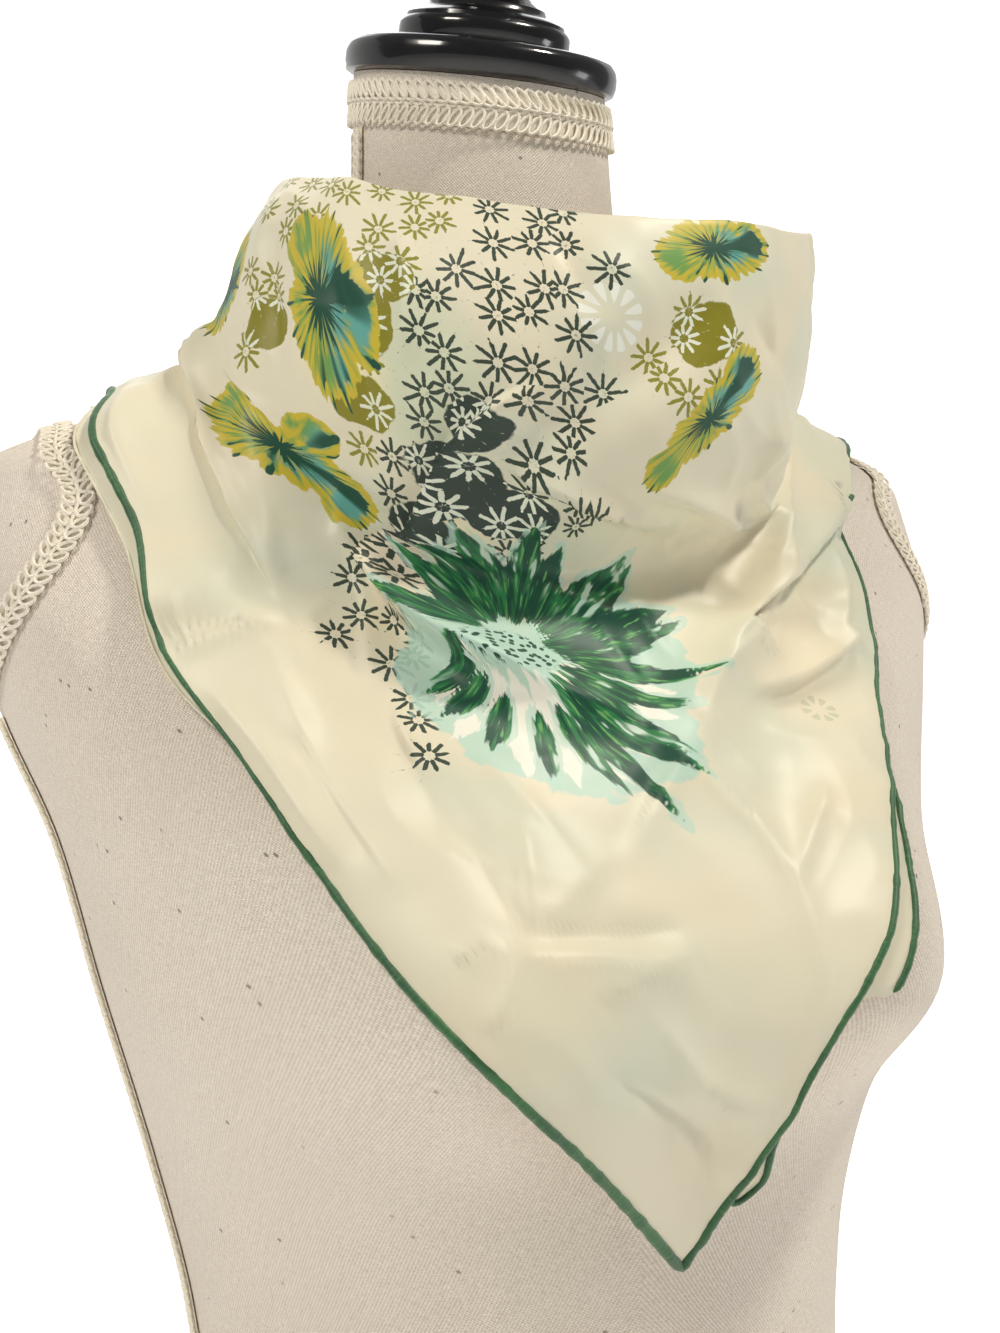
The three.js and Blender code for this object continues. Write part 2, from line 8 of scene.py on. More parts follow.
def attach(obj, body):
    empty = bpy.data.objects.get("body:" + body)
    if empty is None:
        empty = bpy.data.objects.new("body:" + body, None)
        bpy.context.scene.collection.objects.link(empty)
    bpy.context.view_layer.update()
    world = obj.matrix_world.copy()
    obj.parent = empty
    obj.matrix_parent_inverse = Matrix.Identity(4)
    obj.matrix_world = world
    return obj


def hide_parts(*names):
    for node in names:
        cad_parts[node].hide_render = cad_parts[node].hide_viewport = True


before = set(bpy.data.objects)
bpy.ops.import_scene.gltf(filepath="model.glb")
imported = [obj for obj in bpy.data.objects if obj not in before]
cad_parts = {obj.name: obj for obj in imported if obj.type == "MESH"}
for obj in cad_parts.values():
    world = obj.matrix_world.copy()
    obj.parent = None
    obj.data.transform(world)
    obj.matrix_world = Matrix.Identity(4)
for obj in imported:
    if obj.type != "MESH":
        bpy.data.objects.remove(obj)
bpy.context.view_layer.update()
print("frame loaded:", len(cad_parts), "nodes")

mm = 0.001  # the tables and sizes below are in millimetres, as on the pattern table
degree = math.pi / 180
standForward = 11.5  # the form's neck axis stands this far behind the middle of the whole
stand = np.array([0, standForward, 0])


# Camera

camera = {
    "turn": -23.1, "pan": -0.03, "pitch": 1.48, "roll": -2.16,
    "distance": 553, "height": 449, "focal": 1442,
}
imageHeight = 1333
sensorHeight = 24


def makeCamera():
    heading = (camera["turn"] + camera["pan"]) * degree
    pitch = camera["pitch"] * degree
    roll = camera["roll"] * degree
    level = math.cos(pitch)
    ahead = Vector((-math.sin(heading) * level, math.cos(heading) * level, math.sin(pitch)))
    right = Vector((math.cos(heading), math.sin(heading), 0))
    up = right.cross(ahead)
    levelRight = right * math.cos(roll) + up * math.sin(roll)
    levelUp = up * math.cos(roll) - right * math.sin(roll)
    data = bpy.data.cameras.new("camera")
    data.sensor_fit = "VERTICAL"
    data.sensor_height = sensorHeight
    data.lens = camera["focal"] / imageHeight * sensorHeight
    data.clip_start = 0.02
    data.clip_end = 40
    eye = bpy.data.objects.new("camera", data)
    bpy.context.collection.objects.link(eye)
    place = Matrix((levelRight, levelUp, -ahead)).transposed().to_4x4()
    turn = camera["turn"] * degree
    place.translation = Vector((
        math.sin(turn) * camera["distance"],
        standForward - math.cos(turn) * camera["distance"],
        camera["height"])) * mm
    eye.matrix_world = place
    bpy.context.scene.camera = eye


makeCamera()
print("camera placed")


# Smooth tables: a curve through every row that never passes a row's high or low

def makeTable(rows):
    data = np.array(rows, float)
    keys, values = data[:, 0], data[:, 1:]
    rise = np.diff(values, axis=0) / np.diff(keys)[:, None]
    before, after = rise[:-1], rise[1:]
    same = before * after > 0
    middle = np.where(same, 2 * before * after / np.where(same, before + after, 1), 0)
    return keys, values, np.vstack([rise[:1], middle, rise[-1:]])


def readTable(table, at):
    keys, values, slopes = table
    at = np.clip(np.asarray(at, float), keys[0], keys[-1])
    i = np.clip(np.searchsorted(keys, at, side="right") - 1, 0, len(keys) - 2)
    step = keys[i + 1] - keys[i]
    t = (at - keys[i]) / step
    ease = (t * t * (3 - 2 * t))[..., None]
    leave = (t * (1 - t) ** 2 * step)[..., None]
    arrive = (-t * t * (1 - t) * step)[..., None]
    read = values[i] * (1 - ease) + values[i + 1] * ease + slopes[i] * leave + slopes[i + 1] * arrive
    return np.moveaxis(read, -1, 0)


# The dress form's sections: height, half width, front, back, centre, square, lean

formTable = makeTable([
    (0, 166, 117, 127, 4, 2.3, 0),
    (60, 171, 117, 134, 4, 2.3, 0),
    (110, 162, 112, 123, 2, 2.3, 0),
    (165, 135, 103, 99, 0, 2.2, 0),
    (205, 120, 95, 86, 0, 2.2, 0),
    (245, 124, 95, 89, 0, 2.2, 0),
    (300, 136, 99, 97, 0, 2.3, 0),
    (360, 152, 106, 106, 0, 2.4, 0),
    (409, 164, 106, 110, 2, 2.5, 0),
    (453, 181, 95, 108, 4, 2.4, 0),
    (497, 193, 78, 95, 8, 2.3, 0),
    (532, 190, 63, 80, 10, 2.2, 0),
    (556, 144, 52, 66, 9, 2, 0),
    (576, 101, 52, 62, 6, 2, 0),
    (593, 80, 52, 58, 2, 2, 0),
    (613, 60, 50, 54, -3, 2, 0.22),
    (641, 50, 47, 48, -2, 2, 0.34),
    (687, 48.5, 46, 46, -2, 2, 0.37),
])
neckTop = {"height": 687, "centre": -2, "lean": 0.37}
bust = {"out": 55, "aside": 76, "height": 361, "spread": 52, "above": 62, "below": 44, "bridge": 0}
hungBust = {**bust, "below": 120, "bridge": 0.65}  # how the cloth hangs from the bust and bridges it
shoulders = {"start": 480, "depth": 60}


def swell(shape, x, height, forward):
    aside = np.abs(x)
    side = np.exp(-((aside - shape["aside"]) / shape["spread"]) ** 2)
    side = np.where(aside < shape["aside"], side + shape["bridge"] * (1 - side), side)
    reach = np.where(height > shape["height"], shape["above"], shape["below"])
    rise = np.exp(-((height - shape["height"]) / reach) ** 2)
    return shape["out"] * side * rise * np.sqrt(np.maximum(forward, 0))


def sizeAt(shape, grow, x, y, height):  # 1 on the surface, more outside it
    lift = grow * np.clip((height - shoulders["start"]) / shoulders["depth"], 0, 1)
    halfWidth, front, back, centre, square, lean = readTable(formTable, height - lift)
    behind = y - centre
    depth = np.where(behind < 0, front, back) + grow
    wide = halfWidth + grow
    turn = np.arctan2(behind / depth, x / wide)
    deep = depth + swell(shape, x, height, -np.sin(turn))
    return (np.abs(x / wide) ** square + np.abs(behind / deep) ** square) ** (1 / square)


def canvasPoint(angle, height, grow=0):
    halfWidth, front, back, centre, square, lean = readTable(formTable, height)
    c, s = np.cos(angle), np.sin(angle)
    power = 2 / square
    x = (halfWidth + grow) * np.sign(c) * np.abs(c) ** power
    depth = np.where(s < 0, front, back) + grow
    y = depth * np.sign(s) * np.abs(s) ** power - swell(bust, x, height, -s)
    return np.stack([x, centre + y, height + lean * y], -1)


def outward(points):
    step = 0.5
    x, y, z = points.T
    out = np.stack([
        sizeAt(bust, 0, x + step, y, z) - sizeAt(bust, 0, x - step, y, z),
        sizeAt(bust, 0, x, y + step, z) - sizeAt(bust, 0, x, y - step, z),
        sizeAt(bust, 0, x, y, z + step) - sizeAt(bust, 0, x, y, z - step)], -1)
    return out / np.linalg.norm(out, axis=1, keepdims=True)


# Shader maths: Python operators on a Field add the Math nodes

class Field:
    def __init__(self, tree, socket=None):
        self.tree = tree
        self.socket = socket

    def add(self, kind, settings=None, inputs=None, output=0):
        node = self.tree.nodes.new("ShaderNode" + kind)
        for name, value in (settings or {}).items():
            setattr(node, name, value)
        for name, value in (inputs or {}).items():
            if isinstance(value, Field):
                self.tree.links.new(value.socket, node.inputs[name])
            else:
                node.inputs[name].default_value = value
        return Field(self.tree, node.outputs[output])

    def maths(self, operation, *values):
        return self.add("Math", {"operation": operation}, dict(enumerate(values)))

    def __add__(self, other): return self.maths("ADD", self, other)
    def __radd__(self, other): return self.maths("ADD", other, self)
    def __sub__(self, other): return self.maths("SUBTRACT", self, other)
    def __rsub__(self, other): return self.maths("SUBTRACT", other, self)
    def __mul__(self, other): return self.maths("MULTIPLY", self, other)
    def __rmul__(self, other): return self.maths("MULTIPLY", other, self)
    def __truediv__(self, other): return self.maths("DIVIDE", self, other)
    def __rtruediv__(self, other): return self.maths("DIVIDE", other, self)
    def __pow__(self, other): return self.maths("POWER", self, other)
    def __abs__(self): return self.maths("ABSOLUTE", self)

    def ramp(self, low, high):  # 0 below low, 1 above high, smooth between; low may be the larger
        return self.add("MapRange", {"interpolation_type": "SMOOTHSTEP"},
                        {"Value": self, "From Min": low, "From Max": high})

    def mix(self, below, above):  # colours: below where this is 0, above where it is 1
        return self.add("Mix", {"data_type": "RGBA"}, {0: self, 6: below, 7: above}, 2)

    def noise(self, scale, detail=2, dimensions="3D"):
        return self.add("TexNoise", {"noise_dimensions": dimensions},
                        {"Vector": self, "Scale": scale, "Detail": detail})

    def part(self, axis):
        return self.add("SeparateXYZ", None, {0: self}, axis)

    def stretched(self, x, y, z=1):
        return self.add("VectorMath", {"operation": "MULTIPLY"}, {0: self, 1: (x, y, z)})


def tint(code):  # a colour picked as 0xRRGGBB, as the shader wants it
    channels = [(code >> shift & 255) / 255 for shift in (16, 8, 0)]
    return tuple(c / 12.92 if c < 0.04045 else ((c + 0.055) / 1.055) ** 2.4 for c in channels) + (1,)


def newMaterial(name, constants, links):
    material = bpy.data.materials.new(name)
    material.use_nodes = True
    tree = material.node_tree
    shader = tree.nodes["Principled BSDF"]
    for socket, value in constants.items():
        shader.inputs[socket].default_value = value
    base = Field(tree)
    for socket, value in links(base).items():
        tree.links.new(value.socket, shader.inputs[socket])
    return material


def bump(base, height, strength, distance):
    return base.add("Bump", None, {"Height": height, "Strength": strength, "Distance": distance})


# Meshes

def finishMesh(name, bm, sharpAngle=None):
    mesh = bpy.data.meshes.new(name)
    bm.to_mesh(mesh)
    bm.free()
    mesh.shade_smooth()
    if sharpAngle:
        mesh.set_sharp_from_angle(angle=sharpAngle * degree)
    piece = bpy.data.objects.new(name, mesh)
    bpy.context.collection.objects.link(piece)
    return piece


def gridPiece(name, across, along, place, uvAt=None, rolled=False, fields=None):
    # place, uvAt and fields give the points, the cloth's map and numbers on the mesh for shares across
    # and along, and rolled closes it
    bm = bmesh.new()
    bmesh.ops.create_grid(bm, x_segments=across, y_segments=along, size=0.5)
    bm.verts.ensure_lookup_table()
    flat = np.array([v.co[:2] for v in bm.verts]) + 0.5
    points = place(flat[:, 0], flat[:, 1]) + stand
    for v, point in zip(bm.verts, points):
        v.co = point * mm
    if uvAt:
        uvs = uvAt(flat[:, 0], flat[:, 1]) * mm
        layer = bm.loops.layers.uv.new("cloth")
        for face in bm.faces:
            for loop in face.loops:
                loop[layer].uv = uvs[loop.vert.index]
    for key, values in (fields(flat[:, 0], flat[:, 1]) if fields else {}).items():
        layer = bm.verts.layers.float.new(key)
        for v, value in zip(bm.verts, values):
            v[layer] = value
    if rolled:
        bmesh.ops.remove_doubles(bm, verts=bm.verts, dist=1e-6)
        bmesh.ops.holes_fill(bm, edges=[e for e in bm.edges if e.is_boundary])
        bmesh.ops.recalc_face_normals(bm, faces=bm.faces)
    return finishMesh(name, bm, 50 if rolled else None)


# A tube of cloth or cord along a path, its frame carried along without twisting

def tubePlaces(path, radius):
    ahead = np.gradient(path, axis=0)
    ahead /= np.linalg.norm(ahead, axis=1, keepdims=True)
    side = np.empty_like(path)
    start = np.cross(ahead[0], (0, 0, 1) if abs(ahead[0][2]) < 0.9 else (1, 0, 0))
    side[0] = start / np.linalg.norm(start)
    for i in range(1, len(path)):
        turned = side[i - 1] - ahead[i] * side[i - 1].dot(ahead[i])
        side[i] = turned / np.linalg.norm(turned)
    over = np.cross(ahead, side)
    radius = np.broadcast_to(radius, len(path))

    def place(u, v):
        i = np.rint(v * (len(path) - 1)).astype(int)
        turn = 2 * math.pi * u
        r = radius[i][:, None]
        return path[i] + r * (np.cos(turn)[:, None] * side[i] + np.sin(turn)[:, None] * over[i])
    return place


def tube(name, path, radius, sides, uvAt=None):
    return gridPiece(name, sides, len(path) - 1, tubePlaces(path, radius), uvAt, rolled=True)


def joinPieces(name, pieces):
    bm = bmesh.new()
    for piece in pieces:
        bm.from_mesh(piece.data)
        bpy.data.objects.remove(piece)
    return finishMesh(name, bm, 50)


def dress(piece, material, slot, *nodes):
    piece.data.materials.clear()
    piece.data.materials.append(material)
    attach(piece, "root")
    if nodes:
        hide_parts(*nodes)
    return piece


# Form: canvas torso, board, turned cap, braid

torso = {"around": 168, "bottom": 9.3, "rows": 210}
canvasLook = {
    "pitch": 1.2, "shade": 0xd9cbba, "light": 0xfdf4e8, "fleck": 0x6d5a4c,
}


def torsoHeights():
    knots = [(0, torso["bottom"]), (0.62, 500), (0.84, 600), (1, neckTop["height"])]
    return [k[0] for k in knots], [k[1] for k in knots]


def canvasFinish():
    def links(base):
        uv = base.add("UVMap", {"uv_map": "cloth"})
        thread = 2 * math.pi / (canvasLook["pitch"] * mm)
        x = uv.part(0) * thread
        y = uv.part(1) * thread
        wobble = uv.noise(900, 2)
        weft = (x + wobble * 2.5).maths("SINE", x + wobble * 2.5)
        warp = (y + wobble * 2.5).maths("SINE", y + wobble * 2.5)
        weave = weft * warp
        slub = uv.stretched(1, 5).noise(420, 2) + uv.stretched(5, 1).noise(420, 2) - 1
        cloud = uv.noise(14, 3)
        flecks = uv.add("TexVoronoi", {"voronoi_dimensions": "2D"}, {"Vector": uv, "Scale": 130})
        rare = uv.noise(75, 1).ramp(0.62, 0.7)
        fleck = flecks.ramp(0.12, 0.05) * rare
        color = (weave * 0.42 + slub * 0.9 + cloud * 0.3).ramp(-0.4, 0.6)
        color = color.mix(tint(canvasLook["shade"]), tint(canvasLook["light"]))
        color = (fleck * 0.75).mix(color, tint(canvasLook["fleck"]))
        height = weave * 0.8 + slub * 0.6
        return {"Base Color": color, "Normal": bump(base, height, 0.55, 0.0004)}
    constants = {"Roughness": 0.92, "Sheen Weight": 0.15, "Specular IOR Level": 0.25}
    return newMaterial("canvas", constants, links)


def makeTorso():
    shares, heights = torsoHeights()

    def place(u, v):
        height = np.interp(v, shares, heights)
        return canvasPoint(2 * math.pi * u - math.pi / 2 + 1e-4, height)

    def uvAt(u, v):
        height = np.interp(v, shares, heights)
        halfWidth, front, back, *rest = readTable(formTable, height)
        girth = math.pi * (halfWidth + (front + back) / 2)
        return np.stack([(u - 0.5) * girth, height], -1)

    piece = gridPiece("canvas_torso", torso["around"], torso["rows"], place, uvAt, rolled=True)
    return dress(piece, canvasFinish(), "canvas", "form_torso")


lacquer = {"color": 0x100f10, "worn": 0x6b5138}
boardSize = {"thickness": 9, "inset": 6, "edge": 1.2, "around": 120}


def lacquerFinish():
    def links(base):
        place = base.add("TexCoord", None, None, 3)
        dust = place.noise(60, 4)
        chip = place.stretched(1, 1, 3).noise(95, 3).ramp(0.72, 0.75)
        color = chip.mix(tint(lacquer["color"]), tint(lacquer["worn"]))
        rough = dust.ramp(0.35, 0.75) * 0.14 + 0.12 + chip * 0.3
        wave = place.stretched(0.4, 0.4, 3).noise(40, 2)
        return {"Base Color": color, "Roughness": rough, "Normal": bump(base, wave, 0.08, 0.001)}
    return newMaterial("black_lacquer", {"Coat Weight": 0.6, "Coat Roughness": 0.08}, links)


capProfiles = {
    "neck_cap_flange": [
        (0, 0), (50, 0), (51.7, 1), (52.5, 3.5), (52.5, 7), (51.8, 9.6), (50.2, 11.6), (47.5, 12.5),
        (0, 12.5)],
    "neck_cap_finial": [
        (0, 0), (31, 0), (32.6, 1), (33, 3), (33, 6.6), (32, 8.2), (30.8, 9), (30.4, 10.4), (28.6, 11.4),
        (25, 12.4), (23.4, 13.6), (22.6, 15.4), (18.6, 17.6), (16, 19.6), (14.4, 22.4), (14, 25),
        (15.4, 28.6), (18, 32), (20.6, 35.6), (22, 39), (22.2, 42.6), (21.5, 46), (19.2, 49.6), (16, 52),
        (11.6, 54.2), (7, 55.1), (0, 55.5)],
}
flangeTop = 12.5
seamGap = 0.3


def makeCap(material):
    tip = math.atan(neckTop["lean"])
    seat = Matrix.Translation(Vector((0, standForward + neckTop["centre"],
                                      neckTop["height"] + seamGap / math.cos(tip))) * mm)
    for node, lift in (("neck_cap_flange", 0), ("neck_cap_finial", flangeTop + seamGap)):
        bm = bmesh.new()
        corners = [bm.verts.new((r * mm, 0, (h + lift) * mm)) for r, h in capProfiles[node]]
        edges = [bm.edges.new(pair) for pair in zip(corners, corners[1:])]
        bmesh.ops.spin(bm, geom=corners + edges, cent=(0, 0, 0), axis=(0, 0, 1), angle=2 * math.pi,
                       steps=96, use_merge=True)
        bmesh.ops.remove_doubles(bm, verts=bm.verts, dist=1e-6)
        bmesh.ops.recalc_face_normals(bm, faces=bm.faces)
        bmesh.ops.transform(bm, matrix=seat @ Matrix.Rotation(tip, 4, "X"), verts=bm.verts)
        piece = finishMesh("turned_" + node, bm, 35)
        dress(piece, material, "black_wood", node)


def makeBoard(material):
    around = boardSize["around"]
    turn = np.linspace(0, 2 * math.pi, around, endpoint=False)
    outline = canvasPoint(turn, np.full(around, boardSize["thickness"], float), -boardSize["inset"])
    outline[:, 2] = 0
    bm = bmesh.new()
    bmesh.ops.create_circle(bm, cap_ends=True, segments=around, radius=1)
    for v, point in zip(bm.verts, outline + stand):
        v.co = point * mm
    risen = bmesh.ops.extrude_face_region(bm, geom=bm.faces[:])
    top = [v for v in risen["geom"] if isinstance(v, bmesh.types.BMVert)]
    bmesh.ops.translate(bm, verts=top, vec=(0, 0, boardSize["thickness"] * mm))
    bmesh.ops.recalc_face_normals(bm, faces=bm.faces)
    rims = [e for e in bm.edges if len(e.link_faces) == 2 and e.calc_face_angle() > 1]
    bmesh.ops.bevel(bm, geom=rims, offset=boardSize["edge"] * mm, affect="EDGES", segments=3, profile=0.5,
                    material=-1)
    dress(finishMesh("base_board", bm, 35), material, "black_wood", "form_base_board")


gimp = {
    "cord": 0.62, "pitch": 4.0, "loop": 1.35, "slant": 0.55, "lift": 0.15, "base": 0.8, "baseShare": 0.44,
    "steps": 12, "width": 10, "bandWidth": 16.5, "bandHeight": 675.0,
}
armhole = {"centre": 10, "height": 505, "halfDepth": 46, "halfHeight": 44}
seams = {"shoulder": (555, 665, 60), "side": (12, 451, 110)}  # from and to height, and the points along it
braidLook = {"color": 0xfdf7ea, "shade": 0xeee4cf}


def braidFinish():
    def links(base):
        place = base.add("TexCoord", None, None, 3)
        fibre = place.noise(1400, 2)
        color = fibre.ramp(0.3, 0.7).mix(tint(braidLook["shade"]), tint(braidLook["color"]))
        return {"Base Color": color, "Normal": bump(base, fibre, 0.4, 0.0003)}
    return newMaterial("ivory_braid", {"Roughness": 0.62, "Sheen Weight": 0.3}, links)


def layBraid(name, route, across, width, looped, material, node):
    # route: points on the canvas; across: unit directions over the braid's width
    out = outward(route)
    across = across - out * np.sum(across * out, axis=1, keepdims=True)
    across /= np.linalg.norm(across, axis=1, keepdims=True)
    if looped:
        route, across, out = (np.vstack([a, a[:1]]) for a in (route, across, out))
    run = np.concatenate([[0], np.cumsum(np.linalg.norm(np.diff(route, axis=0), axis=1))])
    length = run[-1]

    def along(table, s):
        return np.stack([np.interp(s, run, table[:, k]) for k in range(3)], -1)

    def at(s, aside, lift):
        return along(route, s) + along(across, s) * aside[:, None] + along(out, s) * lift[:, None]

    loops = max(round(length / gimp["pitch"]), 3)
    pitch = length / loops
    pieces = []
    for hand in (1, -1):
        turn = np.linspace(0, 2 * math.pi * loops, loops * gimp["steps"] + 1)
        half = width / 4
        aside = hand * (half * 1.02 - half * 0.98 * np.cos(turn))
        s = turn / (2 * math.pi) * pitch + gimp["loop"] * pitch / 2 * np.sin(turn)
        s = s - gimp["slant"] * np.abs(aside)
        s = np.mod(s + length, length) if looped else np.clip(s, 0, length)
        lift = gimp["base"] + gimp["cord"] * (1.5 + 0.7 * np.sin(turn + hand))
        points = at(s, aside, lift)
        pieces.append(tube(name + "_row", points, gimp["cord"], 5))
    steps = max(int(length / gimp["pitch"]), 8)

    def strip(u, v):
        turn = 2 * math.pi * u
        aside = np.cos(turn) * width * gimp["baseShare"]
        lift = gimp["lift"] + gimp["base"] * (0.5 + 0.5 * np.sin(turn))
        return at(v * length, aside, lift)

    pieces.append(gridPiece(name + "_base", 8, steps, strip, rolled=True))
    return dress(joinPieces(name, pieces), material, "braid", node)


def makeBraid(material):
    count = 160
    turn = np.linspace(0, 2 * math.pi, count, endpoint=False)
    up = np.tile([0.0, 0.0, 1.0], (count, 1))
    band = canvasPoint(turn, np.full(count, gimp["bandHeight"]))
    layBraid("braid_neck", band, up, gimp["bandWidth"], True, material, "gimp_neck_band")
    for side, name in ((1, "left"), (-1, "right")):
        angle = 0 if side > 0 else math.pi
        for seam, (low, high, points) in seams.items():
            heights = np.linspace(low, high, points)
            route = canvasPoint(np.full(len(heights), angle), heights)
            back = np.tile([0.0, 1.0, 0.0], (len(heights), 1))
            layBraid(f"braid_{seam}_{name}", route, back, gimp["width"], False, material,
                     f"gimp_{seam}_{name}")
        y = armhole["centre"] + armhole["halfDepth"] * np.cos(turn)
        height = armhole["height"] + armhole["halfHeight"] * np.sin(turn)
        halfWidth, front, back, centre, square, lean = readTable(formTable, height)
        depth = np.where(y < centre, front, back)
        x = side * halfWidth * (1 - np.abs((y - centre) / depth) ** square) ** (1 / square)
        radial = np.stack([np.zeros(count), np.cos(turn), np.sin(turn)], -1)
        route = np.stack([x, y, height], -1)
        layBraid(f"braid_armhole_{name}", route, radial, gimp["width"], True, material,
                 f"gimp_armhole_{name}")


makeTorso()
blackWood = lacquerFinish()
makeCap(blackWood)
makeBoard(blackWood)
makeBraid(braidFinish())
print("form built")


# The scarf's form: the same tables as the pattern's, and a ray out from the heart of the chest

heartHeight = 500
unrolledRadius = 115
formGap = 2.5
frontEase = 4
cowlBlend = 14
blendShare = [(-180, -150, -120, -90, -65), (1, 0.6, 0.45, 0.55, 1)]  # azimuths, and how much of it there
footSpread = 1.1
widestFlare = 30
usableRoom = 0.6
leastRoom = 0.1
knotSide = 163
pointAzimuth = -2
hemRoll = 3.2

# azimuth, then radius and height of the folded edge, of the bulge and of the foot
cowlTable = makeTable([
    (-180, 58, 630, 66, 606, 70, 585),
    (-150, 66, 636, 77, 608, 83, 580),
    (-120, 71, 636, 83, 602, 89, 574),
    (-90, 80, 635, 94, 591, 96, 573),
    (-60, 91, 625, 112, 586, 106, 548),
    (-30, 104, 607, 118, 576, 106, 518),
    (0, 115, 597, 122, 570, 104, 515),
    (30, 121, 603, 123, 572, 104, 520),
    (60, 121, 619, 115, 580, 101, 540),
    (90, 108, 634, 103, 598, 98, 570),
    (120, 88, 640, 94, 608, 95, 576),
    (150, 70, 636, 80, 610, 86, 580),
    (180, 58, 630, 66, 606, 70, 585),
])
# azimuth, reach of the outer layer, how much further the under layer shows
rightReach = makeTable([
    (-163, 34, 0), (-150, 84, 0), (-135, 112, 0), (-112, 112, 0), (-91, 104, 9), (-78, 126, 9),
    (-71, 145, 9), (-64, 179, 6), (-52, 210, 0), (-42, 238, 0), (-28, 281, 0), (-14, 322, 0),
    (pointAzimuth, 352, 0),
])
leftReach = makeTable([
    (pointAzimuth, 352, 0), (3, 332, 0), (5, 325, 9), (7.5, 314, 17), (9, 306, 21), (9.8, 301, 1),
    (13, 280, 1), (15, 273, 3), (20, 258, 17), (29, 229, 12), (42, 195, 3), (53, 169, 0), (60, 141, 0),
    (64, 112, 0), (76, 105, 0), (91, 107, 0), (112, 114, 0), (135, 112, 0), (150, 84, 0), (163, 34, 0),
])

# A row for each fold: half width above and below its line, lift, how far it hangs over its lower side, and
# the line's points, each an azimuth in degrees and a length down the cloth. The back's come last.
softFolds = [
    (12, 10, -5.5, 0, [(-34, 108), (-21, 82), (-7, 57), (14, 26)]),
    (7, 15, -9, 0, [(-79, 74), (-69, 96), (-62, 119), (-57, 137), (-53, 158)]),
    (11, 11, -5, 0, [(-53, 136), (-46, 164), (-39, 196)]),
    (12, 12, 4.5, 0, [(-68, 60), (-60, 100), (-56, 126)]),
    (7, 9, -3.5, 0, [(-50, 128), (-42, 146), (-34, 158)]),
    (16, 12, 4, 0, [(-29, 158), (-16, 168), (2, 170)]),
    (9, 9, 4, 0, [(30, 64), (44, 90)]),
    (12, 9, -4.5, 0, [(10, 112), (22, 124), (34, 150)]),
    (9, 14, -4, 0, [(2, 100), (14, 110), (26, 108)]),
    (10, 12, 2.5, 0, [(72, 70), (64, 92), (50, 116)]),
    (12, 12, 4, 0, [(34, 142), (20, 158), (4, 186), (-4, 202)]),
    (8, 10, -3.5, 0, [(24, 176), (38, 174), (50, 168)]),
    (12, 14, -3, 0, [(24, 186), (16, 214), (14, 250)]),
    (14, 12, 2.5, 0, [(-100, 40), (-112, 64), (-128, 84)]),
    (11, 11, 3, 0, [(-118, 26), (-134, 40), (-150, 62)]),
    (11, 13, -5, 0, [(-108, 70), (-124, 88), (-140, 96)]),
    (8, 8, 4, 0, [(-134, 24), (-160, 30)]),
    (14, 13, 5, 0, [(104, 36), (116, 60), (130, 88)]),
    (11, 12, -5, 0, [(120, 28), (134, 44), (148, 66)]),
    (12, 12, 4, 0, [(112, 74), (138, 94)]),
    (8, 8, 4, 0, [(136, 22), (160, 28)]),
]
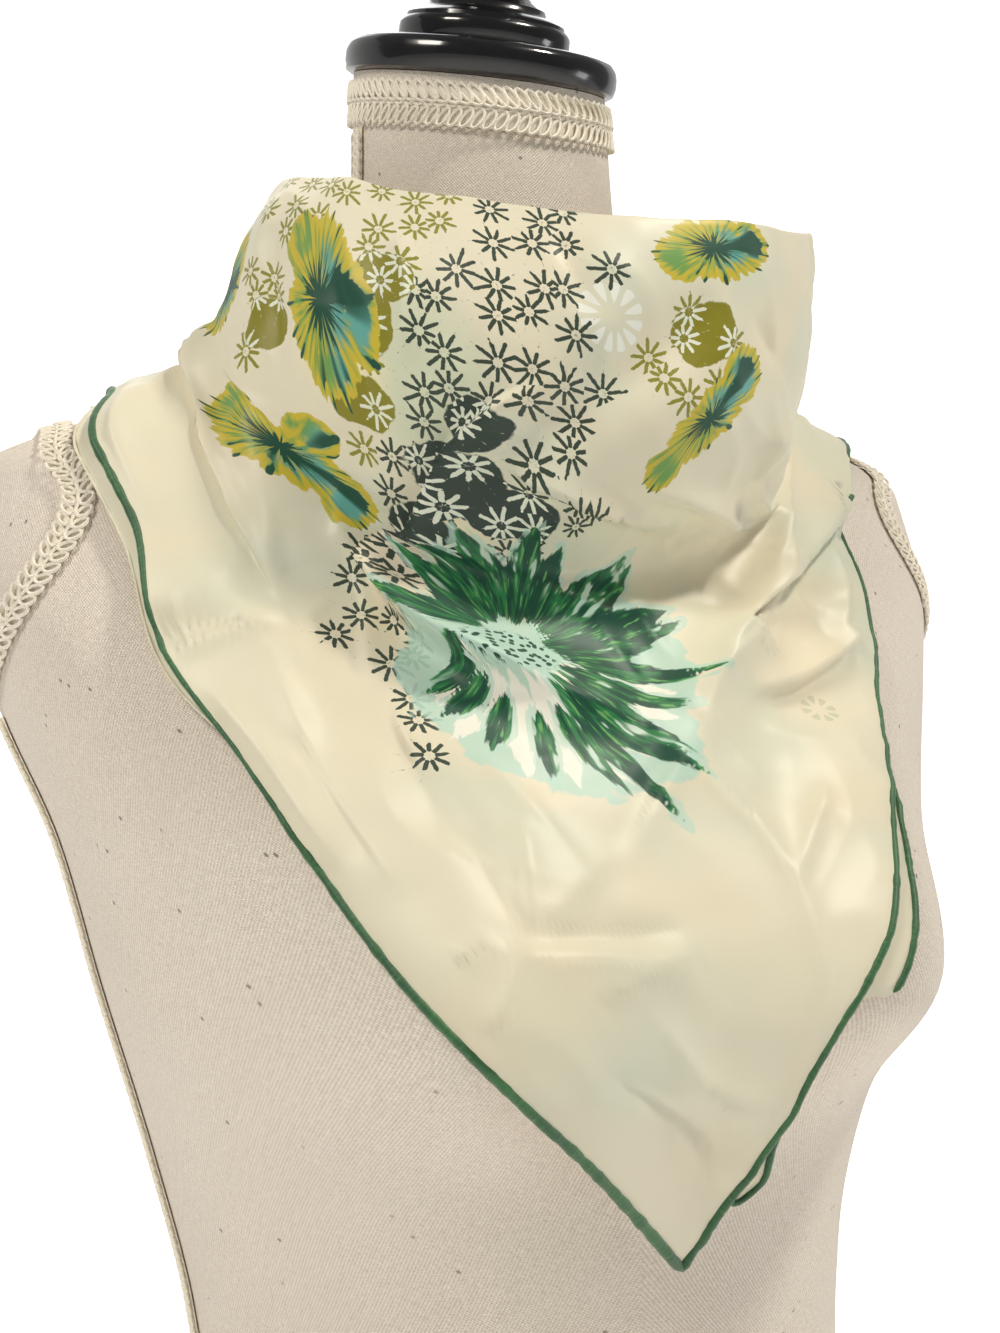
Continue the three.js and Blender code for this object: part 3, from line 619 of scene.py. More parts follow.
crispFolds = [  # the first is the tip of the beak pleat, and the one from (-84, 52) its lip
    (17, 4, 9, 6, [(-14, 58), (-20, 68), (-26, 82), (-34, 115), (-40, 136), (-36, 146), (-31, 153),
                   (-25, 160), (-13, 170)]),
    (5, 7, 3.2, 0, [(28, 58), (31, 69), (30, 82), (35, 90), (47, 100), (47, 107), (43, 115),
                      (33, 131), (18, 155), (10, 176)]),
    (6, 5, 2.8, 0, [(64, 78), (57, 90), (51, 101), (46, 112), (42, 122), (32, 136)]),
    (14, 3, 4.4, 3, [(74, 96), (65, 107), (59, 113), (48, 122), (42, 127), (32, 135), (20, 148)]),
    (6, 3.5, 3, 1, [(1, 84), (13, 88), (32, 99), (47, 104)]),
    (4, 5, 2.8, 0, [(30, 95), (22, 107), (17, 116)]),
    (4, 4, 1.8, 0, [(14, 97), (15, 107), (18, 114)]),
    (7, 2.4, 3.6, 2, [(-19, 84), (-9, 89), (0, 93)]),
    (3, 7, 1.8, 0, [(-18, 101), (-9, 96), (0, 93)]),
    (5, 3.5, 2.6, 0.6, [(-3, 92), (3, 96), (12, 101)]),
    (8, 7, 2.6, 0, [(44, 126), (28, 149), (21, 156), (8, 168)]),
    (5, 5, 1.6, 0, [(38, 134), (26, 147), (14, 154)]),
    (5, 5, -2, 0, [(46, 122), (47, 137), (45, 158)]),
    (8, 3, 2.8, 1, [(20, 170), (30, 168), (40, 163), (51, 158)]),
    (5, 5, 2.4, 0, [(58, 124), (54, 143), (49, 152), (48, 163), (49, 171)]),
    (16, 4.5, 7, 3, [(-84, 52), (-78, 77), (-70, 96), (-63, 117), (-58, 135), (-54, 152)]),
    (9, 5, 3.6, 0, [(-60, 130), (-61, 150), (-64, 172)]),
    (3, 4, 2.4, 0, [(-57, 122), (-55.5, 138), (-54, 158)]),
    (8, 4, 2.6, 0, [(-53, 158), (-58, 167), (-63, 177)]),
    (9, 7, -3.5, 0, [(-51, 152), (-49, 164), (-47, 180)]),
    (6, 7, -3, 0, [(-57, 162), (-65, 174)]),
    (10, 6, 2.4, 0, [(-49, 120), (-44, 146), (-41, 176)]),
    (6, 9, -3, 0, [(-38, 188), (-32, 206), (-30, 226)]),
    (8, 8, 3, 0, [(-58, 186), (-50, 204), (-40, 232)]),
    (5, 6, 2.6, 0, [(-84, 76), (-80, 104), (-70, 138)]),
    (6, 5, -2.2, 0, [(-22, 251), (-12, 248), (-4, 244)]),
    (5, 5, 2.4, 0, [(-22, 258), (-12, 255), (-6, 253)]),
    (5, 5, 2, 0, [(-15, 266), (-8, 257), (-3, 252)]),
    (4, 7, 1.9, 0, [(-21, 254), (-23, 268), (-26, 280)]),
    (6, 5, 1.9, 0, [(-21, 216), (-21, 240), (-21, 253)]),
    (5, 6, -1.8, 0, [(-32, 206), (-25, 234), (-21, 253)]),
    (7, 7, 2.2, 0, [(-21, 253), (-16, 238), (-9, 221), (-3, 204), (3, 192)]),
    (3, 3, 1.3, 0, [(-24, 253), (-28, 259)]),
    (6, 5, 2.3, 0.4, [(5, 196), (11, 214), (12, 233), (11, 258), (10, 284)]),
    (5, 5, 1.8, 0, [(23, 208), (12, 235)]),
    (7, 7, -2, 0, [(1, 188), (-6, 210), (-17, 246)]),
    (5, 4, -1.5, 0, [(-14, 287), (-5, 297), (-1, 306), (1, 320)]),
    (5, 5, 1.4, 0, [(-9, 268), (-2, 288), (6, 304)]),
    (8, 7, -2.4, 0, [(44, 16), (54, 40), (58, 66), (62, 88)]),
    (7, 8, -2, 0, [(20, 30), (34, 52)]),
    (9, 8, -2.5, 0, [(-62, 24), (-58, 66)]),
    (9, 9, 1.2, 0, [(-74, 20), (-80, 70)]),
    (8, 9, -2.5, 0, [(-88, 30), (-84, 76)]),
    (8, 7, 2, 0, [(-36, 18), (-34, 40), (-36, 64)]),
    (6, 7, -2, 0, [(-46, 40), (-42, 70), (-44, 100)]),
    (8, 8, -1.6, 0, [(-12, 10), (-8, 36)]),
    (6, 6, 1.8, 0, [(-30, 100), (-24, 120), (-12, 132)]),
    (5, 5, 1.6, 0, [(-16, 126), (0, 134), (10, 130)]),
    (5, 6, 2.4, 0, [(-74, 92), (-64, 140)]),
    (5, 6, 2, 0, [(-52, 176), (-44, 206), (-34, 236)]),
    (6, 6, -1.8, 0, [(-48, 196), (-36, 232)]),
    (7, 5, 1.6, 0, [(-38, 178), (-30, 214)]),
    (5, 5, 1.8, 0, [(-84, 98), (-75, 122)]),
    (6, 6, -1.4, 0, [(-34, 200), (-22, 236)]),
    (6, 7, -2.4, 0, [(-96, 30), (-104, 78)]),
    (6, 7, 2.6, 0, [(-112, 44), (-124, 100)]),
    (6, 6, -2.4, 0, [(-128, 40), (-142, 96)]),
    (5, 5, 2.2, 0, [(-140, 30), (-156, 56)]),
    (4, 5, -2, 0, [(-146, 56), (-158, 70)]),
    (5, 5, 2, 0, [(-120, 92), (-138, 108)]),
    (7, 6, 2.6, 0, [(96, 34), (108, 84)]),
    (6, 7, -2.4, 0, [(116, 46), (128, 100)]),
    (6, 6, 2.4, 0, [(130, 36), (146, 92)]),
    (5, 5, -2.2, 0, [(142, 28), (156, 54)]),
    (4, 5, 2, 0, [(148, 52), (158, 68)]),
    (5, 5, 2, 0, [(100, 92), (122, 108)]),
    (7, 7, -2.4, 0, [(82, 28), (86, 84)]),
    (6, 5, 2.2, 0, [(78, 56), (72, 88)]),
]
foldScale = {"soft": 1.25, "crisp": 1.55}
crispness = 1.65
crestRound = 0.14
foldTaper = 0.3
crumple = {  # sizes and heights of the small unevenness everywhere
    "size": 34, "lift": 1.2, "bend": 40, "bendBy": 9, "ridge": 47, "ridgeTall": 63,
    "facet": 26, "facetLift": 1.1, "facetLean": 60, "fineSize": 12, "fineLift": 0.3,
}


def foldRelief(azimuth, down, table, crisp):  # lift, and the slide towards the lower side, in millimetres
    x = azimuth * degree * unrolledRadius
    relief = np.zeros((3,) + x.shape)
    for above, below, height, hang, line in table:
        points = np.array(line, float) * (degree * unrolledRadius, 1)
        runs = np.diff(points, axis=0)
        lengths = np.hypot(*runs.T)
        nearest, side, share = np.full(x.shape, 1e9), np.zeros(x.shape), np.zeros(x.shape)
        start = 0
        for (startX, startY), (runX, runY), length in zip(points, runs, lengths):
            offX, offY = x - startX, down - startY
            along = np.clip((offX * runX + offY * runY) / length, 0, length)
            distance = np.hypot(offX - along * runX / length, offY - along * runY / length)
            closer = distance < nearest
            nearest = np.where(closer, distance, nearest)
            side = np.where(closer, offX * runY - offY * runX, side)
            share = np.where(closer, (start + along) / lengths.sum(), share)
            start += length
        spanX, spanY = points[-1] - points[0]
        hand = math.copysign(1, spanX)
        t = nearest / np.where(side * hand > 0, above, below)
        shape = np.exp(-crispness * (np.hypot(t, crestRound) - crestRound)) if crisp else np.exp(-t * t)
        end = np.clip(np.minimum(share, 1 - share) / foldTaper, 0, 1)
        shape = shape * (0.2 + 0.8 * end * (2 - end))
        lower = np.array([-spanY, spanX]) * hand / math.hypot(spanX, spanY)
        relief += shape * np.array([height, hang * lower[0], hang * lower[1]])[:, None]
    return relief


def rayLength(shape, grow, azimuth, elevation):
    x = np.sin(azimuth * degree) * np.cos(elevation * degree)
    y = -np.cos(azimuth * degree) * np.cos(elevation * degree)
    up = np.sin(elevation * degree)
    near = np.full(x.shape, 20.0)
    far = np.full(x.shape, 420.0)
    for _ in range(15):
        middle = (near + far) / 2
        inside = sizeAt(shape, grow, x * middle, y * middle, heartHeight + up * middle) < 1
        near = np.where(inside, middle, near)
        far = np.where(inside, far, middle)
    return (near + far) / 2


rayRows = 168  # rays down each column of the drape, this many degrees apart
rayStep = 0.75
longest = 460  # the drape is kept to this length, a point for each step of length
lengthStep = 2.0


def drapeColumns():
    azimuth = np.arange(-181, 182, 1.0)[:, None]
    topR, topH, bulgeR, bulgeH, footR, footH = readTable(cowlTable, (azimuth[:, 0] + 180) % 360 - 180)
    polar = [(np.arctan2(h - heartHeight, r)[:, None] / degree, np.hypot(r, h - heartHeight)[:, None])
             for r, h in ((topR, topH), (bulgeR, bulgeH), (footR, footH))]
    (edgeE, edgeL), (bulgeE, bulgeL), (footE, footL) = polar
    elevation = edgeE - np.arange(rayRows)[None, :] * rayStep
    ease = frontEase * np.maximum(np.cos(azimuth * degree), 0)
    body = rayLength(hungBust, formGap + ease, azimuth + 0 * elevation, elevation)
    floor = rayLength(bust, formGap, azimuth + 0 * elevation, elevation)
    fall = (bulgeL - footL) / (bulgeE - footE)
    cowl = (edgeL * (elevation - bulgeE) * (elevation - footE) / ((edgeE - bulgeE) * (edgeE - footE))
            + bulgeL * (elevation - edgeE) * (elevation - footE) / ((bulgeE - edgeE) * (bulgeE - footE))
            + footL * (elevation - edgeE) * (elevation - bulgeE) / ((footE - edgeE) * (footE - bulgeE)))
    cowl = np.minimum(cowl, edgeL + widestFlare)
    neck = np.where(elevation < footE, footL + (elevation - footE) * fall * footSpread, cowl)
    blend = cowlBlend * np.interp(azimuth, *blendShare)
    length = (body + neck + np.hypot(body - neck, blend)) / 2
    radius = length * np.cos(elevation * degree)
    height = heartHeight + length * np.sin(elevation * degree)
    step = np.hypot(np.diff(radius), np.diff(height))
    down = np.hstack([np.zeros((len(step), 1)), np.cumsum(step, axis=1)])
    lengths = np.arange(0, longest, lengthStep)
    tables = radius, height, length - floor
    return np.array([[np.interp(lengths, d, a) for d, a in zip(down, table)] for table in tables])


drape = drapeColumns()


def onDrape(azimuth, down):
    i = np.clip((azimuth + 181), 0, drape.shape[1] - 1.001)
    j = np.clip(down / lengthStep, 0, drape.shape[2] - 1.001)
    i0, j0 = i.astype(int), j.astype(int)
    s, t = i - i0, j - j0
    return (drape[:, i0, j0] * (1 - s) * (1 - t) + drape[:, i0 + 1, j0] * s * (1 - t)
            + drape[:, i0, j0 + 1] * (1 - s) * t + drape[:, i0 + 1, j0 + 1] * s * t)


def settled(lift, room):
    spare = np.maximum(room * usableRoom, leastRoom)
    return np.where(lift < 0, -spare * (1 - np.exp(np.minimum(lift, 0) / spare)), lift)


def clothPoint(azimuth, down, lift, up=0, fine=1):
    relief, slideX, slideY = foldScale["soft"] * foldRelief(azimuth, down, softFolds, False)
    if fine:
        crisp, slideX, slideY = foldScale["crisp"] * foldRelief(azimuth, down, crispFolds, True)
        relief = relief + crisp + crumpleLift(azimuth, down)
    edge = np.clip(down / 12, 0, 1)
    turn = (azimuth + slideX * edge / (degree * unrolledRadius)) * degree
    down = np.maximum(down + slideY * edge, 0)
    radius, height, room = onDrape(turn / degree, down)
    nextRadius, nextHeight, _ = onDrape(turn / degree, down + 3)
    run = np.hypot(nextRadius - radius, nextHeight - height)
    upRadius, upHeight = (radius - nextRadius) / run, (height - nextHeight) / run
    out = lift + settled(relief, room)
    radius = radius + upHeight * out + upRadius * up
    height = height - upRadius * out + upHeight * up
    return np.stack([radius * np.sin(turn), -radius * np.cos(turn), height], -1)


def crumpleLift(azimuth, down):
    def wave(x, y, seed):
        return noise.noise(Vector((x, y, seed)))

    lift = np.empty(np.shape(azimuth))
    sizes = ("size", "ridge", "facet", "fineSize")
    size, ridgeSize, facetSize, fineSize = (crumple[name] for name in sizes)
    for i, (a, y) in enumerate(zip(azimuth, down)):
        x = a * 2
        broad = wave(x / size, y / (size * 1.5), 1.7)
        bent = x + crumple["bendBy"] * wave(x / crumple["bend"], y / crumple["bend"], 5.5)
        ridge = 1 - 2 * abs(wave(bent / ridgeSize + 0.3 * y / ridgeSize, y / crumple["ridgeTall"], 8.1))
        facet = 1 - 2.4 * abs(wave(bent / facetSize - y / crumple["facetLean"], y / facetSize / 1.4, 2.6))
        small = wave(x / fineSize, y / fineSize, 4.2)
        lift[i] = (crumple["lift"] * (broad * 0.8 + 0.5 * ridge ** 3)
                   + crumple["facetLift"] * max(facet, 0) ** 2 + crumple["fineLift"] * small)
    return lift


def layerReach(azimuth, under=0, inset=0):
    def full(at):
        right, left = readTable(rightReach, at), readTable(leftReach, at)
        both = np.where(at < pointAzimuth, right, left)
        return both[0] + under * both[1]

    reach = full(azimuth)
    radius = onDrape(azimuth, reach)[0]
    steepest = np.maximum(np.abs(full(azimuth + 1) - reach), np.abs(reach - full(azimuth - 1)))
    return reach - inset * np.hypot(1, steepest / (degree * radius))


# Stations round the scarf, closest together over the print, with one on the point
stationTable = np.concatenate([
    np.arange(-knotSide, -88, 2.6), np.arange(-88, -62, 1), np.arange(-62, pointAzimuth, 0.75),
    np.arange(pointAzimuth, 62, 0.8), np.arange(62, 90, 1.4), np.arange(90, knotSide, 2.6), [knotSide]])
sparseTable = np.concatenate([  # the under layer's, closest together at the second tip
    np.arange(-knotSide, pointAzimuth, 2.3), np.arange(pointAzimuth, 24, 0.6), np.arange(24, knotSide, 2.2),
    [knotSide]])
layerApart = {"outer": 2.0, "inner": 0.5, "slip": 1.2}  # above the form, and how much lower the inner lies
clothThickness = 0.35
rollRows = 5


def azimuthAt(u, stations):
    return np.interp(u * (len(stations) - 1), np.arange(len(stations)), stations)


def layerPlace(stations, rows, under):
    # The outer layer starts with a roll over the folded edge, and the under layer starts beneath it
    def place(u, v):
        azimuth = azimuthAt(u, stations)
        reach = layerReach(azimuth, under, hemRoll * 0.4)
        middle = (layerApart["outer"] + layerApart["inner"]) / 2
        half = (layerApart["outer"] - layerApart["inner"]) / 2
        if under:
            slip = layerApart["slip"] * np.minimum(v * 12, 1)
            return clothPoint(azimuth, v * reach, layerApart["inner"] - slip)
        roll = np.clip(1 - v * rows / rollRows, 0, 1)
        share = np.clip((v * rows - rollRows) / (rows - rollRows), 0, 1)
        turn = roll * math.pi
        lift = middle + half * np.cos(turn)
        return clothPoint(azimuth, share * reach, lift, half * np.sin(turn))
    return place


def layerUv(stations, rows, under):
    def uvAt(u, v):
        azimuth = azimuthAt(u, stations)
        start = 0 if under else rollRows / rows
        down = np.clip((v - start) / (1 - start), 0, 1) * layerReach(azimuth, under, hemRoll * 0.4)
        return np.stack([azimuth * degree * unrolledRadius, down], -1)
    return uvAt


def thicken(piece, thickness):
    shell = piece.modifiers.new("thickness", "SOLIDIFY")
    shell.thickness = thickness * mm
    shell.offset = 0
    return piece


layers = [  # name, stations, rows, whether it is the under one, nodes
    ("scarf_outer_layer", stationTable, 174, 0, ("scarf_front", "scarf_back_left", "scarf_back_right")),
    ("scarf_under_layer", sparseTable, 70, 1, ("under_right_shoulder", "under_left_chest")),
]


def makeLayers(material):
    made = []
    for name, stations, rows, under, nodes in layers:
        uvAt = layerUv(stations, rows, under)
        piece = gridPiece(name, len(stations) - 1, rows, layerPlace(stations, rows, under), uvAt,
                          fields=None if under else printFields(uvAt))
        made.append(dress(thicken(piece, clothThickness), material, "silk", *nodes))
    return made


hemLook = {"color": 0x3a7040, "shade": 0x214f2b, "light": 0x5a8f58}


def hemFinish():
    def links(base):
        uv = base.add("UVMap", {"uv_map": "cloth"})
        fibre = uv.stretched(1, 0.3).noise(900, 2)
        stretch = uv.noise(60, 2)
        color = (fibre * 0.5 + stretch * 0.5).ramp(0.3, 0.7)
        color = color.mix(tint(hemLook["shade"]), tint(hemLook["color"]))
        color = fibre.ramp(0.62, 0.8).mix(color, tint(hemLook["light"]))
        return {"Base Color": color, "Normal": bump(base, fibre, 0.4, 0.0003)}
    return newMaterial("green_hem", {"Roughness": 0.5, "Sheen Weight": 0.25}, links)


def rollTube(name, path, material, nodes, radius, seed=0, slot="green_hem"):
    radius = np.broadcast_to(radius, len(path))
    run = np.concatenate([[0], np.cumsum(np.linalg.norm(np.diff(path, axis=0), axis=1))])
    even = np.arange(0, run[-1], 1.8)
    path = np.stack([np.interp(even, run, path[:, k]) for k in range(3)], -1)
    uneven = [
        1 + 0.22 * noise.noise(Vector((s / 5, seed, 0))) + 0.12 * noise.noise(Vector((s / 1.9, seed, 3)))
        for s in even]
    width = np.interp(even, run, radius) * uneven
    width[:2] *= (0.3, 0.8)
    width[-2:] *= (0.8, 0.3)
    girth = math.pi * hemRoll
    piece = tube(name, path, width, 9, lambda u, v: np.stack([plainCloth + v * run[-1], u * girth], -1))
    return dress(piece, material, slot, *nodes)


# The roll's radius round the scarf: fullest at the point, pulled thin where the edge turns under
hemTable = makeTable([
    (-163, 1.3), (-92, 1.5), (-74, 1.5), (-64, 1), (-52, 1), (-44, 1.35), (-20, 1.6), (pointAzimuth, 1.9),
    (8, 1.45), (30, 1.3), (60, 1.15), (163, 1.3),
])
plainCloth = 460  # the knot, the ends and the edges take a plain stretch of the cloth, this far along it
underEdges = [  # name, from and to azimuth, radius, and the node if it has one
    ("shoulder", -93, -52, 0.5, "hem_under_right_shoulder"),
    ("chest", 19, 44, 1.3, "hem_under_left_chest"),
    ("tip", 3.6, 9.6, 1.2),
]


def makeHems(greenHem, silk):
    side = knotSide - 3
    azimuth = np.concatenate([
        np.linspace(-side, pointAzimuth, 260), np.linspace(pointAzimuth, side, 260)[1:]])
    path = clothPoint(azimuth, layerReach(azimuth, 0, hemRoll / 2), layerApart["outer"] - 0.4)
    hems = [rollTube("hem_outer", path, greenHem, ("hem_front", "hem_back_left", "hem_back_right"),
                     readTable(hemTable, azimuth)[0])]
    for name, low, high, radius, *nodes in underEdges:
        plain = name == "shoulder"  # that edge is a plain fold
        azimuth = np.linspace(low, high, 80)
        edge = layerReach(azimuth, 1, hemRoll / 2)
        path = clothPoint(azimuth, edge, layerApart["inner"] - layerApart["slip"])
        finish, slot = (silk, "silk") if plain else (greenHem, "green_hem")
        hems.append(rollTube("hem_under_" + name, path, finish, nodes, radius, seed=5, slot=slot))
    return hems


def silkFinish():
    def links(base):
        uv = base.add("UVMap", {"uv_map": "cloth"})
        thread = uv.noise(2600, 2) * 0.5 + uv.noise(260, 3)
        return {"Base Color": silkPrint(uv), "Normal": bump(base, thread, 0.12, 0.0004)}
    return newMaterial("printed_silk", {
        "Roughness": 0.44, "Sheen Weight": 0.25, "Sheen Roughness": 0.4, "Specular IOR Level": 0.38}, links)


silkLook = {"cream": 0xe8e1c8, "warm": 0xeadec1, "cool": 0xd9dcc6}
starLook = {"pitch": 12.2, "inner": 1.4, "outer": 6.7, "stroke": 0.62, "petals": 9}
# Star fields: middle x, middle down, half width, half height, in millimetres on the cloth
charcoalStars = [
    (-36, 22, 24, 26), (-42, 56, 32, 30), (-50, 92, 36, 28), (-78, 152, 18, 26), (-68, 186, 14, 18),
    (-80, 128, 12, 16)]
oliveStars = [
    (-118, 12, 24, 16), (-66, 14, 30, 18), (-78, 44, 20, 28), (-76, 80, 14, 26), (-128, 56, 14, 18),
    (16, 44, 16, 16)]
darkBlots = [(-48, 74, 12, 8), (-56, 92, 19, 11), (-38, 100, 15, 9), (-68, 112, 16, 10)]
oliveBlots = [(-122, 58, 9, 9), (-76, 36, 10, 8), (-86, 76, 12, 9), (22, 36, 11, 11), (-80, 50, 7, 12)]
printLook = {"charcoal": 0x394739, "olive": 0x8f8d30, "blot": 0x2f3f36, "moss": 0x8a8420, "pale": 0xe6ead6}
# Small blooms, each of a few lobes: middle x, middle down, half width, half height, turn in degrees
blooms = [
    [(-98, 48, 12, 26, -8), (-107, 30, 9, 11, 0), (-85, 50, 7, 15, -14), (-95, 68, 9, 9, 0)],
    [(-116, 101, 25, 8.5, 28), (-133, 89, 8, 8, 0), (-97, 113, 8, 9, 0), (-108, 91, 9, 7, 20)],
    [(26, 9, 17, 9, 4), (41, 7, 8, 7, 0), (13, 13, 8, 7, 0)],
    [(25, 62, 21, 7, -44), (37, 49, 8, 9, 0), (11, 77, 8, 6, -40)],
    [(-152, 44, 8, 18, 14)],
]
bloomLook = {"rim": 0xcdb93a, "body": 0x6f9f52, "wash": 0x63aaa0, "heart": 0x1d4f3d}
flower = {
    "x": -40, "y": 153, "dark": 0x174c38, "mid": 0x2b7d47, "light": 0x6cab62, "mint": 0xbcdccb,
    "white": 0xf3f1e2,
}
# Its petals: heading in degrees (0 towards the form's left, 90 down the cloth), start, length, width, bend
greenPetals = [
    (-166, 6, 30, 10, 0), (-142, 8, 34, 12, 3), (-124, 8, 40, 15, 4), (-103, 10, 40, 15, -3),
    (-84, 8, 46, 15, 5), (-62, 12, 38, 14, -4), (-42, 10, 60, 13, 6), (-30, 14, 56, 11, -5),
    (-19, 8, 66, 13, 4), (-8, 10, 64, 12, -5), (4, 14, 58, 10, 5), (22, 12, 52, 9, -3),
    (34, 16, 50, 9, 4), (44, 14, 56, 9, -4), (53, 16, 58, 8, 3), (64, 22, 36, 7, -3),
    (80, 22, 28, 7, 2), (104, 18, 24, 8, 0), (126, 14, 24, 8, 3), (150, 10, 26, 9, -3),
]
whitePetals = [
    (-14, 16, 40, 12, 0), (13, 14, 44, 13, 3), (28, 12, 46, 13, -2), (40, 14, 50, 13, 3),
    (58, 14, 48, 13, -3), (72, 14, 38, 12, 2), (92, 12, 36, 12, -2), (114, 12, 30, 12, 3),
    (138, 10, 26, 11, 0),
]
# Soft patches of colour under the stars, greyer or yellower than the cloth: middle x, middle down, half
# width, half height, colour
tintPatches = [
    (-66, 64, 24, 36, 0xd0d8bb), (-60, 112, 18, 13, 0xefe3b6), (-92, 66, 20, 16, 0xf0e6bd),
    (4, 126, 22, 14, 0xdfe3c8)]
# Faint marks: middle x, middle down, radius, petals, colour, strength
faintMarks = [
    (-10, 34, 11, 12, 0xf2f4ea, 0.85), (68, 179, 6.5, 8, 0xb9bda0, 0.55), (56, 152, 8, 10, 0xc9ccb4, 0.3)]
mintWash = [(-22, 172, 40, 34), (-50, 166, 26, 26), (-6, 150, 34, 22)]
petalRoom = 9  # added to what the mesh carries, so that cloth without it has no petals


def petalEdge(x, y, table):  # millimetres inside the nearest petal's outline, negative outside it
    best = np.full(x.shape, -1.0 * petalRoom)
    for heading, start, length, width, bend in table:
        c, s = math.cos(heading * degree), math.sin(heading * degree)
        dx, dy = x - flower["x"], y - flower["y"]
        along = (dx * c + dy * s - start) / length
        aside = np.abs(dy * c - dx * s - bend * along ** 2)
        past = np.maximum(np.maximum(-along, along - 1), 0) * length
        half = width / 2 * np.sin(math.pi * np.clip(along, 0, 1) ** 0.85)
        best = np.maximum(best, np.where(past > 0, -np.hypot(aside, past), half - aside))
    return best


def printFields(uvAt):
    def fields(u, v):
        x, y = uvAt(u, v).T
        return {"greenPetal": petalEdge(x, y, greenPetals) + petalRoom,
                "whitePetal": petalEdge(x, y, whitePetals) + petalRoom}
    return fields


def spots(x, y, table):  # 1 in the middle of any of the ovals, below 0 outside them
    most = None
    for midX, midY, wide, tall in table:
        dx = (x - midX) * (1 / wide)
        dy = (y - midY) * (1 / tall)
        inside = 1 - (dx * dx + dy * dy)
        most = inside if most is None else most.maths("MAXIMUM", most, inside)
    return most


def spokes(across, down, radius, count, run):  # streaks that fan out from a middle
    turned = {0: across / radius * count, 1: down / radius * count, 2: radius * run}
    return across.add("CombineXYZ", None, turned).noise(1, 2)


def printStars(place, x, y, color):
    cell = {"Vector": place, "Scale": 1 / starLook["pitch"], "Randomness": 0.72}
    middle = place.add("TexVoronoi", {"voronoi_dimensions": "2D"}, cell, "Position")
    chance = place.add("TexVoronoi", {"voronoi_dimensions": "2D"}, cell, "Color")
    midX, midY = middle.part(0), middle.part(1)
    dx, dy = x - midX, y - midY
    radius = (dx * dx + dy * dy) ** 0.5
    sector = dx.maths("ARCTAN2", dy, dx) * (starLook["petals"] / (2 * math.pi)) + chance.part(0) * 7
    across = abs(sector.maths("FRACT", sector) - 0.5) * (2 * math.pi / starLook["petals"]) * radius
    reach = starLook["outer"] * (0.75 + 0.3 * chance.part(1) + 0.9 * (place.noise(0.33, 1) - 0.5))
    wobble = place.noise(0.9, 1) - 0.5
    taper = radius.ramp(starLook["inner"] * 0.9, starLook["inner"] * 1.2) * (reach - radius).ramp(-0.2, 0.7)
    stroke = (starLook["stroke"] * taper - across + wobble * 0.5).ramp(-0.05, 0.12)
    jitter = chance.part(2) * 0.5
    isOlive = (spots(midX, midY, oliveStars) + jitter).ramp(0.24, 0.26)
    isCharcoal = (spots(midX, midY, charcoalStars) + jitter).ramp(0.24, 0.26)
    edge = place.noise(0.12, 3) * 1.3 - 0.65
    moss = (spots(x, y, oliveBlots) + edge).ramp(0, 0.12)
    dark = (spots(x, y, darkBlots) + edge).ramp(0, 0.12)
    color = moss.mix(color, tint(printLook["moss"]))
    color = dark.mix(color, tint(printLook["blot"]))
    ink = isCharcoal.mix(tint(printLook["olive"]), tint(printLook["charcoal"]))
    ink = moss.maths("MAXIMUM", moss, dark).mix(ink, tint(printLook["pale"]))
    return (stroke * isOlive.maths("MAXIMUM", isOlive, isCharcoal)).mix(color, ink)


def printFaint(x, y, color, midX, midY, size, petals, ink, strength):
    dx, dy = x - midX, y - midY
    radius = (dx * dx + dy * dy) ** 0.5
    sector = dx.maths("ARCTAN2", dy, dx) * (petals / (2 * math.pi)) + 0.3
    across = abs(sector.maths("FRACT", sector + 9) - 0.5) * 2
    petal = (1 - across) * radius.ramp(size * 0.1, size * 0.75) * (size - radius).ramp(0, size * 0.12)
    return (petal.ramp(0.3, 0.5) * strength).mix(color, tint(ink))


def inOval(x, y, midX, midY, wide, tall, turn):  # across, down and radius, in halves of the oval's size
    c, s = math.cos(turn * degree), math.sin(turn * degree)
    dx, dy = x - midX, y - midY
    across = (dx * c + dy * s) * (1 / wide)
    down = (dy * c - dx * s) * (1 / tall)
    return across, down, (across * across + down * down) ** 0.5


def printBloom(x, y, color, heart, *lobes):
    across, down, radius = inOval(x, y, *heart)
    streak = spokes(across, down, radius, 8, 1.1)
    wander = spokes(across, down, radius, 1.4, 0.25)
    edge = 1.12 - radius
    for lobe in lobes:
        edge = edge.maths("MAXIMUM", edge, 1.05 - inOval(x, y, *lobe)[2])
    edge = edge + (streak - 0.5) * 0.6 + (wander - 0.5) * 0.8
    body = (edge * 0.7 + (streak - 0.5) * 1.8).ramp(0.05, 0.55)
    body = body.mix(tint(bloomLook["rim"]), tint(bloomLook["body"]))
    wash = (across + wander - 0.5).ramp(-0.1, 0.5) * edge.ramp(0.3, 0.6)
    body = wash.mix(body, tint(bloomLook["wash"]))
    body = (0.5 - radius + (streak - 0.5) * 1.5).ramp(0, 0.06).mix(body, tint(bloomLook["heart"]))
    veins = ((streak - 0.63) * edge.ramp(0.5, 0.2) + (wander - 0.55) * 0.2).ramp(0, 0.02)
    body = veins.mix(body, tint(bloomLook["heart"]))
    return edge.ramp(0, 0.05).mix(color, body)


